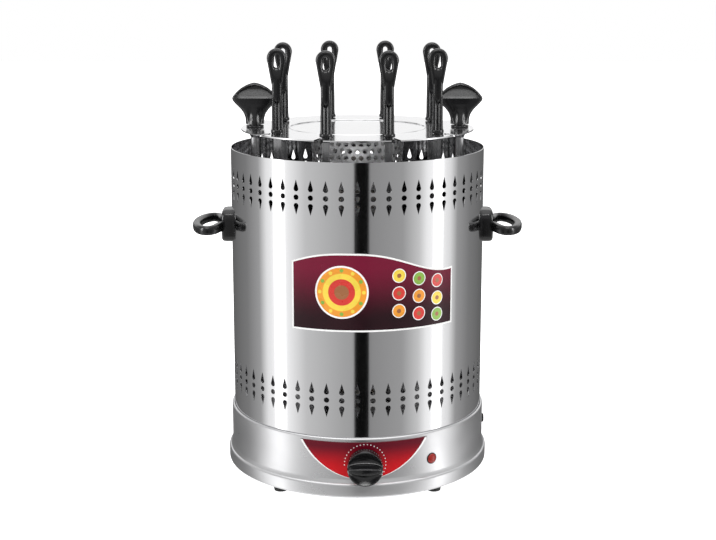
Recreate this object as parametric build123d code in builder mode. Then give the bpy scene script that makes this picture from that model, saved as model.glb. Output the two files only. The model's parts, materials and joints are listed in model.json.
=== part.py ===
from build123d import *
from math import acos, cos, pi, radians, sin, sqrt, tan
import os

# Electric skewer grill: eight skewers hang from a slotted disc and turn round an upright heater.
# Origin: centre of the four feet, on the table. +Z up, the timer knob faces -Y. Millimetres.
# Top to bottom: skewer handles and disc, guard drum and heater, lift-off shell, gears, base.

# ---------------------------------------------------------------- driving dimensions
foot_height = 12.6
foot_top_radius = 8.6
foot_bottom_radius = 6.2
foot_spacing = 144.0
foot_recess_radius = 4.0
foot_recess_depth = 4.0
foot_straight_height = 2.0  # the foot tapers below this last stretch
foot_screw_head_height = 2.6
foot_screw_end = 3.0  # above the bottom plate's underside

base_height = 55.2  # from the feet to the rounded top edge
base_radius = 122.5
base_sheet = 1.2
flange_radius = 126.0
flange_height = 13.4
flange_shoulder = 4.0
top_curl = 1.8
flange_round = 2.5
fold_offset = 0.6  # the inner face turns this much lower than the outer one
plate_gap = 0.2
lip_width = 10.8  # inward lip over the bottom plate
lip_screw_circle = 118.8
lip_screw_radius = 1.6
lip_screw_head_radius = 3.0
lip_screw_length = 3.6
vent_slot_count = 12
vent_slot_circle = 30.0
vent_slot_length = 24.0
vent_slot_width = 3.5

shell_radius = 120.0
shell_sheet = 0.8
shell_top_above_base = 249.4
shell_seat_depth = 6.6  # the shell's lower end sits this far inside the base
shell_gap = 0.3
hole_columns = 54
drop_width = 4.8
drop_height = 10.7
dot_diameter = 5.0
drop_offset = 5.1  # from the dot's centre to each drop's blunt end
upper_band_below_rim = 32.1
lower_band_above_base = 34.5

station_count = 10  # eight skewers and two posts share the circle
skewer_circle = 90.0  # radius
post_circle = 97.0
disc_radius = 110.0
disc_sheet = 1.2
disc_above_rim = 17.7
disc_recess_radius = 65.0
disc_recess_depth = 0.6
slot_width = 8.6
slot_run_out = 5.0  # past the disc's edge

blade_width = 7.0
blade_sheet = 1.2
blade_point_length = 8.0
blade_tip_half_width = 1.0
grip_length = 76.4
grip_width = 10.0
grip_thickness = 8.0
grip_head_radius = 8.8
grip_head_taper = 22.0  # from the head's centre down to the straight shaft
grip_eye_radius = 2.7
grip_eye_length = 6.8
grip_eye_drop = 3.0
grip_collar_radius = 5.8
grip_collar_height = 3.0
grip_neck_radius = 3.2
grip_foot_radius = 4.1
grip_foot_height = 2.5
grip_clearance = 0.5  # above the disc

tee_half_width = 21.4
tee_height = 42.0
tee_wing_height = 14.8
tee_shoulder_drop = 7.5
tee_shoulder_share = 0.72
tee_stem_rise = 6.0
tee_stem_half_width = 8.6
tee_thickness = 9.0
tee_neck_radius = 5.3
tee_neck_height = 3.1
post_radius = 4.0
post_collar_radius = 8.6
post_collar_height = 2.6
post_flare_height = 6.0
post_flare_radius = 7.0
post_thread_radius = 2.5
post_thread_length = 20.0
post_thread_tail = 1.0  # below the nut
post_nut_radius = 5.0
post_nut_height = 2.2

drum_radius = 43.0
drum_sheet = 0.8
drum_gap_below_disc = 3.0
drum_hole_radius = 4.6
drum_hole_rows = 14
drum_hole_columns = 16
drum_cut = 2.0  # the hole cutter reaches this far inside and outside

gear_module = 2.0
sun_teeth = 70  # a multiple of the stations, so every station meshes alike
gear_height = 6.0
gear_backlash = 0.5
sun_bore_radius = 50.0
running_clearance = 0.05
rack_angle = radians(20)
gear_dedendum = 1.2 * gear_module
gear_addendum = 0.9 * gear_module
hub_radius = 8.5
hub_above_deck = 8.0
socket_depth = 14.0
socket_clearance = 0.3
pin_radius = 3.0
pin_tail = 2.0  # riveted below the chassis
pin_cover = 3.0  # solid gear above the pin
pin_shoulder_radius = 5.0

deck_sheet = 1.2
deck_below_base_top = 1.6
deck_wire_hole_radius = 20.0
hub_hole_radius = 9.5
shelf_width = 7.3
tray_sheet = 1.0
tray_lip_height = 6.0
tray_inner_radius = 47.0
tray_post_hole_radius = 4.6
tray_edge_gap = 1.0

chassis_sheet = 1.6
chassis_radius = 112.0
chassis_drop = 13.4  # from the deck's underside to the chassis's top face
chassis_rail_height = 10.0
chassis_rail_width = 4.0
chassis_opening_radius = 44.0
ledge_inner_radius = 48.0  # the ledge that the sun gear slides on
ledge_outer_radius = 56.0
pillar_radius = 4.0
pillar_circle = 62.0
gear_lift = 3.4  # from the chassis to the gears
motor_radius = 24.0
motor_height = 24.0
motor_shaft_radius = 3.0
motor_shaft_depth = 8.0
motor_screw_count = 3
motor_screw_circle = 19.0
motor_screw_radius = 1.5
motor_screw_head_radius = 2.6
motor_screw_length = 6.0
moulding_chamfer = 1.5

panel_half_width = 57.5
panel_offset = 6.0  # the panel sits a little to the right of the middle
panel_sheet = 1.0
panel_top_below_base = 3.5
panel_tip_above_flange = 0.6
panel_tip_half_width = 11.0
panel_side_share = 0.68  # half width at the side arc's middle
panel_side_rise = 0.36
knob_radius = 16.1
knob_depth = 15.5
knob_gap = 0.9
knob_height = 44.0
knob_bar_width = 9.0
knob_skirt_height = 9.0
knob_bar_inset = 2.0
knob_bar_round = 0.6
knob_edge = 1.2
knob_cap = 3.5
knob_hole_gap = 1.0
timer_width = 40.0
timer_depth = 24.0
timer_bottom = 20.0
timer_inset = 4.3  # behind the base wall's inside
timer_shaft_radius = 3.0
timer_corner = 3.0
timer_gap_below_chassis = 0.5
timer_shaft_cover = 4.0

lamp_angle = 33.7  # degrees to the right of the front
lamp_height = 42.0
lamp_radius = 5.4
lamp_proud = 2.6
lens_round = 1.6
lamp_body_radius = 4.4
lamp_body_length = 18.0
gland_radius = 4.2
gland_bore_radius = 3.0
gland_proud = 2.0
gland_height = 46.6
gland_wall = 1.0
gland_flange = 2.0
label_half_angle = 38.0
label_offset_angle = 9.0
label_bottom = 166.0
label_height = 72.0
label_sheet = 0.25

handle_height = 241.5
handle_reach = 38.0  # from the shell to the outside of the loop
handle_bar_width = 8.0
handle_bar_height = 9.0
handle_block_depth = 9.0
handle_block_height = 31.0
handle_block_half_width = 18.0
handle_half_width = 41.0
handle_corner_reach = 13.0
handle_root_overlap = 1.0  # the loop runs this far into its block
handle_hole_gap = 2.0  # from the block to the finger hole
handle_corner_round = 7.0
handle_block_round = 4.0
handle_cutter_depth = 1.5  # inside the shell
handle_screw_spacing = 20.0
screw_radius = 2.0
screw_head_radius = 3.6
screw_head_height = 1.2
handle_screw_radius = 1.6

heater_tube_radius = 6.0
heater_tube_circle = 16.0
heater_tube_count = 3
heater_tube_wall = 1.5
heater_base_radius = 30.0
heater_base_height = 10.0
heater_top_gap = 26.0
holder_sheet = 2.4
holder_gap = 0.2
holder_hole_count = 6
holder_hole_circle = 32.0
holder_hole_radius = 5.0

terminal_place = (40.0, 62.0)
terminal_length = 30.0
terminal_width = 14.0
terminal_height = 12.0
terminal_bore_count = 3
terminal_bore_pitch = 9.0
terminal_bore_radius = 2.0
terminal_bore_depth = 6.0

# ---------------------------------------------------------------- levels and places
base_bottom = foot_height
base_top = base_bottom + base_height
flange_top = base_bottom + flange_height
base_inside = base_radius - base_sheet
shell_bottom = base_top - shell_seat_depth
rim_height = base_top + shell_top_above_base
shell_inside = shell_radius - shell_sheet
deck_top = base_top - deck_below_base_top
deck_bottom = deck_top - deck_sheet
deck_radius = shell_inside - 2 * shell_gap
disc_top = rim_height + disc_above_rim
disc_bottom = disc_top - disc_sheet
chassis_top = deck_bottom - chassis_drop
chassis_bottom = chassis_top - chassis_sheet
gear_bottom = chassis_top + gear_lift
gear_top = gear_bottom + gear_height
hub_top = deck_top + hub_above_deck
socket_bottom = hub_top - socket_depth
blade_bottom = socket_bottom + grip_clearance
plate_top = base_bottom + base_sheet
sun_radius = gear_module * sun_teeth / 2
pinion_radius = skewer_circle - sun_radius
pinion_teeth = round(2 * pinion_radius / gear_module)
station_pitch = 360 / station_count
skewer_angles = [station_pitch * n for n in range(station_count) if n % (station_count // 2)]
knob_back = -(flange_radius + knob_gap)
knob_x = panel_offset + 1.0
front = Plane.XZ  # its normal points to -Y
quarter_turns = range(0, 360, 90)

os.makedirs("parts", exist_ok=True)


def save(piece, name):
    """Label a finished piece and write its STEP file."""
    piece.label = name
    export_step(piece, f"parts/{name}.step")


def on_circle(radius, angles):
    """Places on a circle about the Z axis, at angles in degrees from +X."""
    return [(radius * cos(radians(a)), radius * sin(radians(a))) for a in angles]


def facing(angle):
    """Upright plane on the Z axis whose normal is angle degrees to the right of the front."""
    turn = radians(angle)
    return Plane(origin=(0, 0, 0), x_dir=(cos(turn), sin(turn), 0), z_dir=(sin(turn), -cos(turn), 0))


def ring_profile(inner, outer, bottom, top):
    """Rectangle in the XZ plane that revolves into a ring."""
    with BuildSketch(Plane.XZ, mode=Mode.PRIVATE) as profile:
        with Locations(((inner + outer) / 2, (bottom + top) / 2)):
            Rectangle(outer - inner, top - bottom)
    return profile.sketch


def gear_outline(teeth):
    """Closed outline of a spur gear whose flanks follow the involute of a 20 degree rack."""
    pitch = gear_module * teeth / 2
    base_circle = pitch * cos(rack_angle)
    root = pitch - gear_dedendum
    tip = pitch + gear_addendum
    half_at_pitch = (pi * gear_module / 2 - gear_backlash) / 2 / pitch

    def half_angle(radius):
        pressure = acos(min(1.0, base_circle / radius))
        involute = tan(pressure) - pressure
        return half_at_pitch + tan(rack_angle) - rack_angle - involute

    radii = [root, (root + pitch) / 2, pitch, (pitch + tip) / 2, tip]
    flank = [(r, half_angle(max(r, base_circle))) for r in radii]
    points = []
    for n in range(teeth):
        centre = 2 * pi * n / teeth
        sides = [(r, centre - a) for r, a in flank] + [(r, centre + a) for r, a in reversed(flank)]
        points += [(r * cos(a), r * sin(a)) for r, a in sides]
    return points


# ---------------------------------------------------------------- base housing
with BuildPart() as base_housing:
    with BuildSketch(Plane.XZ):
        with BuildLine():
            Polyline(
                (flange_radius - base_sheet, base_bottom),
                (flange_radius, base_bottom),
                (flange_radius, flange_top),
                (base_radius, flange_top + flange_shoulder),
                (base_radius, base_top),
                (shell_radius + shell_gap, base_top),
                (shell_radius + shell_gap, shell_bottom),
                (base_inside - shelf_width, shell_bottom),
                (base_inside - shelf_width, shell_bottom - base_sheet),
                (base_inside, shell_bottom - base_sheet),
                (base_inside, flange_top + flange_shoulder - fold_offset),
                (flange_radius - base_sheet, flange_top - fold_offset),
                (flange_radius - base_sheet, plate_top + base_sheet),
                (flange_radius - base_sheet - lip_width, plate_top + base_sheet),
                (flange_radius - base_sheet - lip_width, plate_top),
                (flange_radius - base_sheet, plate_top),
                close=True,
            )
        make_face()
    revolve(axis=Axis.Z)
    top_edge = base_housing.edges().filter_by(GeomType.CIRCLE).group_by(Axis.Z)[-1].sort_by(SortBy.LENGTH)
    fillet(top_edge[-1], top_curl)
    shoulder = [
        e for e in base_housing.edges().filter_by(GeomType.CIRCLE)
        if abs(e.radius - flange_radius) < 0.01 and abs(e.center().Z - flange_top) < 0.01
    ]
    fillet(shoulder, flange_round)
    with BuildSketch(front):
        with Locations((knob_x, knob_height)):
            Circle(timer_shaft_radius + knob_hole_gap)
    extrude(amount=flange_radius, mode=Mode.SUBTRACT)
    with BuildSketch(Plane.YZ):
        with Locations((0, gland_height)):
            Circle(gland_radius - gland_wall)
    extrude(amount=flange_radius, mode=Mode.SUBTRACT)
    with BuildSketch(facing(lamp_angle)):
        with Locations((0, lamp_height)):
            Circle(lamp_body_radius)
    extrude(amount=flange_radius, mode=Mode.SUBTRACT)
    with Locations(*on_circle(lip_screw_circle, quarter_turns)):
        with Locations((0, 0, plate_top)):
            Cylinder(lip_screw_radius, 4 * base_sheet, mode=Mode.SUBTRACT)
save(base_housing.part, "base_housing")

with BuildPart() as bottom_plate:
    with BuildSketch(Plane.XY.offset(base_bottom)):
        Circle(flange_radius - base_sheet - plate_gap)
        with Locations(*on_circle(lip_screw_circle, quarter_turns)):
            Circle(lip_screw_radius, mode=Mode.SUBTRACT)
        with GridLocations(foot_spacing, foot_spacing, 2, 2):
            Circle(screw_radius, mode=Mode.SUBTRACT)
        with PolarLocations(vent_slot_circle, vent_slot_count):
            SlotOverall(vent_slot_length, vent_slot_width, mode=Mode.SUBTRACT)
    extrude(amount=base_sheet)
save(bottom_plate.part, "bottom_plate")

with BuildPart() as bottom_screws:
    with BuildSketch(Plane.XY.offset(base_bottom - screw_head_height)):
        with Locations(*on_circle(lip_screw_circle, quarter_turns)):
            Circle(lip_screw_head_radius)
    extrude(amount=screw_head_height)
    with BuildSketch(Plane.XY.offset(base_bottom)):
        with Locations(*on_circle(lip_screw_circle, quarter_turns)):
            Circle(lip_screw_radius - running_clearance)
    extrude(amount=lip_screw_length)
save(bottom_screws.part, "bottom_screws")

# ---------------------------------------------------------------- feet
foot_head_top = foot_recess_depth + foot_screw_head_height
with BuildPart() as rubber_feet:
    with BuildSketch():
        with GridLocations(foot_spacing, foot_spacing, 2, 2):
            Circle(foot_top_radius)
    extrude(amount=foot_height)
    with BuildSketch(Plane.XZ) as foot_trim:
        with BuildLine():
            Polyline(
                (foot_bottom_radius, 0),
                (foot_top_radius + 1, 0),
                (foot_top_radius + 1, foot_height - foot_straight_height),
                (foot_top_radius, foot_height - foot_straight_height),
                close=True,
            )
        make_face()
    trim = revolve(foot_trim.sketch, axis=Axis.Z, mode=Mode.PRIVATE)
    with GridLocations(foot_spacing, foot_spacing, 2, 2):
        add(trim, mode=Mode.SUBTRACT)
        Cylinder(foot_recess_radius, foot_recess_depth, align=(Align.CENTER, Align.CENTER, Align.MIN),
                 mode=Mode.SUBTRACT)
        Cylinder(screw_head_radius + running_clearance, foot_head_top,
                 align=(Align.CENTER, Align.CENTER, Align.MIN), mode=Mode.SUBTRACT)
        Cylinder(screw_radius + running_clearance, foot_height,
                 align=(Align.CENTER, Align.CENTER, Align.MIN), mode=Mode.SUBTRACT)
save(rubber_feet.part, "rubber_feet")

with BuildPart() as foot_screws:
    with BuildSketch(Plane.XY.offset(foot_recess_depth)):
        with GridLocations(foot_spacing, foot_spacing, 2, 2):
            Circle(screw_head_radius)
    extrude(amount=foot_head_top - foot_recess_depth)
    with BuildSketch(Plane.XY.offset(foot_head_top)):
        with GridLocations(foot_spacing, foot_spacing, 2, 2):
            Circle(screw_radius - running_clearance)
    extrude(amount=plate_top + foot_screw_end - foot_head_top)
save(foot_screws.part, "foot_screws")

# ---------------------------------------------------------------- gear chassis and gears
with BuildPart() as gear_chassis:
    with BuildSketch(Plane.XY.offset(chassis_bottom)):
        Circle(chassis_radius)
        Circle(chassis_opening_radius, mode=Mode.SUBTRACT)
        with Locations(*on_circle(skewer_circle, skewer_angles)):
            Circle(pin_radius, mode=Mode.SUBTRACT)
        with Locations((skewer_circle, 0)):
            Circle(motor_shaft_radius + 1, mode=Mode.SUBTRACT)
            with PolarLocations(motor_screw_circle, motor_screw_count):
                Circle(motor_screw_radius, mode=Mode.SUBTRACT)
    extrude(amount=chassis_sheet)
    revolve(
        ring_profile(
            sun_bore_radius - chassis_rail_width, sun_bore_radius - running_clearance,
            chassis_top, chassis_top + chassis_rail_height,
        ),
        axis=Axis.Z,
    )
    revolve(
        ring_profile(ledge_inner_radius, ledge_outer_radius, chassis_top, gear_bottom - shell_gap),
        axis=Axis.Z,
    )
save(gear_chassis.part, "gear_chassis")

pillar_places = on_circle(pillar_circle, range(45, 360, 90))
with BuildPart() as chassis_pillars:
    with BuildSketch(Plane.XY.offset(plate_top)):
        with Locations(*pillar_places):
            RegularPolygon(pillar_radius, 6)
    extrude(amount=chassis_bottom - plate_top)
save(chassis_pillars.part, "chassis_pillars")

with BuildPart() as gear_pins:
    with BuildSketch(Plane.XY.offset(chassis_bottom - pin_tail)):
        with Locations(*on_circle(skewer_circle, skewer_angles)):
            Circle(pin_radius - running_clearance)
    extrude(amount=gear_top - pin_cover - chassis_bottom + pin_tail)
    with BuildSketch(Plane.XY.offset(chassis_top)):
        with Locations(*on_circle(skewer_circle, skewer_angles)):
            Circle(pin_shoulder_radius)
    extrude(amount=gear_lift - shell_gap)
save(gear_pins.part, "gear_pins")

with BuildPart() as sun_gear:
    with BuildSketch(Plane.XY.offset(gear_bottom)):
        with BuildLine(Plane.XY.rotated((0, 0, 180 / sun_teeth))):
            Polyline(*gear_outline(sun_teeth), close=True)
        make_face()
        Circle(sun_bore_radius, mode=Mode.SUBTRACT)
    extrude(amount=gear_height)
save(sun_gear.part, "sun_gear")

pinion_outline = gear_outline(pinion_teeth)
for number, angle in enumerate(skewer_angles, start=1):
    place = Plane((*on_circle(skewer_circle, [angle])[0], gear_bottom))
    with BuildPart() as socket_gear:
        with BuildSketch(place):
            with BuildLine():
                Polyline(*pinion_outline, close=True)
            make_face()
        extrude(amount=gear_height)
        with BuildSketch(place.offset(gear_height)):
            Circle(hub_radius)
        extrude(amount=hub_top - gear_top)
        with BuildSketch(place):
            Circle(pin_radius)
        extrude(amount=gear_height - pin_cover + running_clearance, mode=Mode.SUBTRACT)
        with BuildSketch(place.offset(socket_bottom - gear_bottom)):
            Rectangle(blade_width + 2 * socket_clearance, blade_sheet + 2 * socket_clearance)
        extrude(amount=socket_depth, mode=Mode.SUBTRACT)
    save(socket_gear.part, f"socket_gear_{number}")

motor_place = Plane((skewer_circle, 0, chassis_bottom))
with BuildPart() as motor:
    with BuildSketch(motor_place):
        Circle(motor_radius)
    extrude(amount=-motor_height)
    chamfer(motor.edges().group_by(Axis.Z)[0], moulding_chamfer)
    with BuildSketch(motor_place):
        Circle(motor_shaft_radius)
        with PolarLocations(motor_screw_circle, motor_screw_count):
            Circle(motor_screw_radius)
    extrude(amount=-motor_shaft_depth, mode=Mode.SUBTRACT)
save(motor.part, "motor")

with BuildPart() as motor_screws:
    with BuildSketch(motor_place.offset(-motor_screw_length)):
        with PolarLocations(motor_screw_circle, motor_screw_count):
            Circle(motor_screw_radius - running_clearance)
    extrude(amount=motor_screw_length + chassis_sheet)
    with BuildSketch(motor_place.offset(chassis_sheet)):
        with PolarLocations(motor_screw_circle, motor_screw_count):
            Circle(motor_screw_head_radius)
    extrude(amount=screw_head_height)
save(motor_screws.part, "motor_screws")

with BuildPart() as motor_pinion:
    with BuildSketch(motor_place.offset(gear_bottom - chassis_bottom)):
        with BuildLine():
            Polyline(*pinion_outline, close=True)
        make_face()
    extrude(amount=gear_height)
    with BuildSketch(motor_place.offset(shell_gap - motor_shaft_depth)):
        Circle(motor_shaft_radius - running_clearance)
    extrude(amount=motor_shaft_depth - shell_gap + gear_bottom - chassis_bottom)
save(motor_pinion.part, "motor_pinion")

# ---------------------------------------------------------------- deck and drip tray
with BuildPart() as deck_plate:
    with BuildSketch(Plane.XY.offset(deck_bottom)):
        Circle(deck_radius)
        Circle(deck_wire_hole_radius, mode=Mode.SUBTRACT)
        with Locations(*on_circle(skewer_circle, skewer_angles)):
            Circle(hub_hole_radius, mode=Mode.SUBTRACT)
        with Locations((-post_circle, 0), (post_circle, 0)):
            Circle(post_thread_radius + running_clearance, mode=Mode.SUBTRACT)
    extrude(amount=deck_sheet)
    revolve(
        ring_profile(deck_radius - base_sheet, deck_radius, shell_bottom, deck_bottom),
        axis=Axis.Z,
    )
save(deck_plate.part, "deck_plate")

tray_outer_radius = deck_radius - tray_edge_gap
with BuildPart() as drip_tray:
    with BuildSketch(Plane.XY.offset(deck_top)):
        Circle(tray_outer_radius)
        Circle(tray_inner_radius, mode=Mode.SUBTRACT)
    extrude(amount=tray_lip_height)
    with BuildSketch(Plane.XY.offset(deck_top + tray_sheet)):
        Circle(tray_outer_radius - tray_sheet)
        Circle(tray_inner_radius + tray_sheet, mode=Mode.SUBTRACT)
        with Locations(*on_circle(skewer_circle, skewer_angles)):
            Circle(hub_hole_radius + tray_sheet, mode=Mode.SUBTRACT)
    extrude(amount=tray_lip_height, mode=Mode.SUBTRACT)
    with BuildSketch(Plane.XY.offset(deck_top)):
        with Locations(*on_circle(skewer_circle, skewer_angles)):
            Circle(hub_hole_radius)
        with Locations((-post_circle, 0), (post_circle, 0)):
            Circle(tray_post_hole_radius)
    extrude(amount=tray_lip_height, mode=Mode.SUBTRACT)
save(drip_tray.part, "drip_tray")

# ---------------------------------------------------------------- heater and guard drum
drum_top = disc_bottom - drum_gap_below_disc
with BuildPart() as guard_drum:
    revolve(ring_profile(drum_radius - drum_sheet, drum_radius, deck_top, drum_top), axis=Axis.Z)
    row_pitch = (drum_top - deck_top) / (drum_hole_rows + 1)
    for row in range(drum_hole_rows):
        turn = (row % 2) * 180 / drum_hole_columns
        sides = [facing(turn + 360 * n / drum_hole_columns) for n in range(drum_hole_columns)]
        with BuildSketch(*[side.offset(drum_radius - drum_cut) for side in sides]):
            with Locations((0, deck_top + (row + 1) * row_pitch)):
                Circle(drum_hole_radius)
        extrude(amount=2 * drum_cut, mode=Mode.SUBTRACT)
save(guard_drum.part, "guard_drum")

tube_angles = [90 + 360 * n / heater_tube_count for n in range(heater_tube_count)]
tube_places = on_circle(heater_tube_circle, tube_angles)
tube_top = drum_top - heater_top_gap
with BuildPart() as heater_base:
    with BuildSketch(Plane.XY.offset(deck_top)):
        Circle(heater_base_radius)
        with Locations(*tube_places):
            Circle(heater_tube_radius + running_clearance, mode=Mode.SUBTRACT)
    extrude(amount=heater_base_height)
    top_edges = heater_base.edges().group_by(Axis.Z)[-1]
    chamfer(top_edges.sort_by(SortBy.LENGTH)[-1], moulding_chamfer)
save(heater_base.part, "heater_base")

with BuildPart() as heating_tubes:
    with BuildSketch(Plane.XY.offset(deck_top)):
        with Locations(*tube_places):
            Circle(heater_tube_radius)
            Circle(heater_tube_radius - heater_tube_wall, mode=Mode.SUBTRACT)
    extrude(amount=tube_top - deck_top)
save(heating_tubes.part, "heating_tubes")

with BuildPart() as heater_top_holder:
    with BuildSketch(Plane.XY.offset(tube_top - heater_base_height)):
        Circle(drum_radius - drum_sheet - holder_gap)
        with Locations(*tube_places):
            Circle(heater_tube_radius + running_clearance, mode=Mode.SUBTRACT)
        with PolarLocations(holder_hole_circle, holder_hole_count, start_angle=180 / holder_hole_count):
            Circle(holder_hole_radius, mode=Mode.SUBTRACT)
    extrude(amount=holder_sheet)
save(heater_top_holder.part, "heater_top_holder")

# ---------------------------------------------------------------- rack: posts, disc, T-shaped knobs
post_places = [(-post_circle, 0), (post_circle, 0)]
post_collar_bottom = disc_bottom - post_collar_height
with BuildPart() as rack_posts:
    with BuildSketch(Plane.XZ) as post_section:
        with BuildLine():
            Polyline(
                (0, deck_bottom - post_nut_height - post_thread_tail),
                (post_thread_radius, deck_bottom - post_nut_height - post_thread_tail),
                (post_thread_radius, deck_top),
                (post_radius, deck_top),
                (post_radius, post_collar_bottom - post_flare_height),
                (post_flare_radius, post_collar_bottom),
                (post_collar_radius, post_collar_bottom),
                (post_collar_radius, disc_bottom),
                (post_thread_radius, disc_bottom),
                (post_thread_radius, disc_bottom + post_thread_length),
                (0, disc_bottom + post_thread_length),
                close=True,
            )
        make_face()
    post = revolve(post_section.sketch, axis=Axis.Z, mode=Mode.PRIVATE)
    with Locations(*post_places):
        add(post)
save(rack_posts.part, "rack_posts")

with BuildPart() as post_nuts:
    with BuildSketch(Plane.XY.offset(deck_bottom - post_nut_height)):
        with Locations(*post_places):
            RegularPolygon(post_nut_radius, 6)
            Circle(post_thread_radius + running_clearance, mode=Mode.SUBTRACT)
    extrude(amount=post_nut_height)
save(post_nuts.part, "post_nuts")

with BuildPart() as top_disc:
    with BuildSketch(Plane.XY.offset(disc_bottom)):
        Circle(disc_radius)
        for angle in skewer_angles:
            with Locations(Pos(*on_circle(skewer_circle, [angle])[0]) * Rot(0, 0, angle)):
                Circle(slot_width / 2, mode=Mode.SUBTRACT)
                Rectangle(disc_radius - skewer_circle + slot_run_out, slot_width,
                          align=(Align.MIN, Align.CENTER), mode=Mode.SUBTRACT)
        with Locations(*post_places):
            Circle(post_thread_radius + 2 * running_clearance, mode=Mode.SUBTRACT)
    extrude(amount=disc_sheet)
    with BuildSketch(Plane.XY.offset(disc_top)):
        Circle(disc_recess_radius)
    extrude(amount=-disc_recess_depth, mode=Mode.SUBTRACT)
save(top_disc.part, "top_disc")

tee_bottom = disc_top
tee_top = tee_bottom + tee_height
tee_wing_level = tee_top - tee_wing_height
tee_stem_bottom = tee_bottom + tee_neck_height
tee_stem_top = tee_stem_bottom + tee_stem_rise
tee_shoulder_level = tee_wing_level - tee_shoulder_drop
for side, x in (("left", -post_circle), ("right", post_circle)):
    with BuildPart() as tee_knob:
        with BuildSketch(Plane.XZ) as wing:
            with BuildLine():
                wing_left, wing_right = x - tee_half_width, x + tee_half_width
                stem_left, stem_right = x - tee_stem_half_width, x + tee_stem_half_width
                shoulder = tee_shoulder_share * tee_half_width
                ThreePointArc((wing_left, tee_wing_level), (x, tee_top), (wing_right, tee_wing_level))
                Spline(
                    (wing_right, tee_wing_level),
                    (x + shoulder, tee_shoulder_level),
                    (stem_right, tee_stem_top),
                )
                Polyline(
                    (stem_right, tee_stem_top),
                    (stem_right, tee_stem_bottom),
                    (stem_left, tee_stem_bottom),
                    (stem_left, tee_stem_top),
                )
                Spline(
                    (stem_left, tee_stem_top),
                    (x - shoulder, tee_shoulder_level),
                    (wing_left, tee_wing_level),
                )
            make_face()
        extrude(amount=tee_thickness / 2, both=True)
        with BuildSketch(Plane.XY.offset(tee_bottom)):
            with Locations((x, 0)):
                Circle(tee_neck_radius)
        extrude(amount=tee_neck_height)
        with BuildSketch(Plane.XY.offset(tee_bottom)):
            with Locations((x, 0)):
                Circle(post_thread_radius + running_clearance)
        extrude(amount=post_thread_length, mode=Mode.SUBTRACT)
    save(tee_knob.part, f"tee_knob_{side}")

# ---------------------------------------------------------------- skewers
grip_bottom = disc_top + grip_clearance
grip_top = grip_bottom + grip_length
head_level = grip_top - grip_head_radius
eye_level = head_level - grip_eye_drop
taper_level = head_level - grip_head_taper
shaft_bottom = grip_bottom + grip_collar_height
foot_bottom = disc_bottom - grip_clearance - grip_foot_height
blade_top = grip_bottom + grip_length / 3
for number, (x, y) in enumerate(on_circle(skewer_circle, skewer_angles), start=1):
    across = Plane.XZ.offset(-y)
    with BuildPart() as skewer_blade:
        with BuildSketch(across):
            with BuildLine():
                Polyline(
                    (x - blade_tip_half_width, blade_bottom),
                    (x + blade_tip_half_width, blade_bottom),
                    (x + blade_width / 2, blade_bottom + blade_point_length),
                    (x + blade_width / 2, blade_top),
                    (x - blade_width / 2, blade_top),
                    (x - blade_width / 2, blade_bottom + blade_point_length),
                    close=True,
                )
            make_face()
        extrude(amount=blade_sheet / 2, both=True)
    save(skewer_blade.part, f"skewer_blade_{number}")

    with BuildPart() as skewer_handle:
        with BuildSketch(across):
            with BuildLine():
                Polyline(
                    (x - grip_head_radius, head_level),
                    (x - grip_width / 2, taper_level),
                    (x - grip_width / 2, shaft_bottom),
                    (x + grip_width / 2, shaft_bottom),
                    (x + grip_width / 2, taper_level),
                    (x + grip_head_radius, head_level),
                )
                ThreePointArc(
                    (x + grip_head_radius, head_level),
                    (x, grip_top),
                    (x - grip_head_radius, head_level),
                )
            make_face()
        extrude(amount=grip_thickness / 2, both=True)
        with BuildSketch(Plane.XY.offset(grip_bottom)):
            with Locations((x, y)):
                Circle(grip_collar_radius)
        extrude(amount=grip_collar_height)
        with BuildSketch(Plane.XY.offset(foot_bottom)):
            with Locations((x, y)):
                Circle(grip_foot_radius)
        extrude(amount=grip_foot_height)
        with BuildSketch(Plane.XY.offset(foot_bottom + grip_foot_height)):
            with Locations((x, y)):
                Circle(grip_neck_radius)
        extrude(amount=grip_bottom - foot_bottom - grip_foot_height)
        with BuildSketch(across):
            with Locations((x, eye_level)):
                SlotOverall(grip_eye_length + 2 * grip_eye_radius, 2 * grip_eye_radius, rotation=90)
        extrude(amount=grip_thickness, both=True, mode=Mode.SUBTRACT)
        with BuildSketch(Plane.XY.offset(foot_bottom)):
            with Locations((x, y)):
                Rectangle(blade_width + 2 * running_clearance, blade_sheet + 2 * running_clearance)
        extrude(amount=blade_top - foot_bottom, mode=Mode.SUBTRACT)
    save(skewer_handle.part, f"skewer_handle_{number}")

# ---------------------------------------------------------------- timer, knob, panel, lamp
timer_back = -(base_inside - timer_inset - timer_depth)
timer_top = chassis_bottom - timer_gap_below_chassis
with BuildPart() as timer_body:
    with BuildSketch(front.offset(-timer_back)):
        with Locations((knob_x, (timer_bottom + timer_top) / 2)):
            Rectangle(timer_width, timer_top - timer_bottom)
    extrude(amount=timer_depth)
    fillet(timer_body.edges().filter_by(Axis.Y), timer_corner)
    with BuildSketch(front.offset(-timer_back)):
        with Locations((knob_x, knob_height)):
            Circle(timer_shaft_radius)
    extrude(amount=timer_depth, mode=Mode.SUBTRACT)
save(timer_body.part, "timer_body")

knob_front = knob_back - knob_depth
with BuildPart() as timer_shaft:
    with BuildSketch(front.offset(-timer_back)):
        with Locations((knob_x, knob_height)):
            Circle(timer_shaft_radius - running_clearance)
    extrude(amount=timer_back - knob_front - timer_shaft_cover)
save(timer_shaft.part, "timer_shaft")

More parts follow.
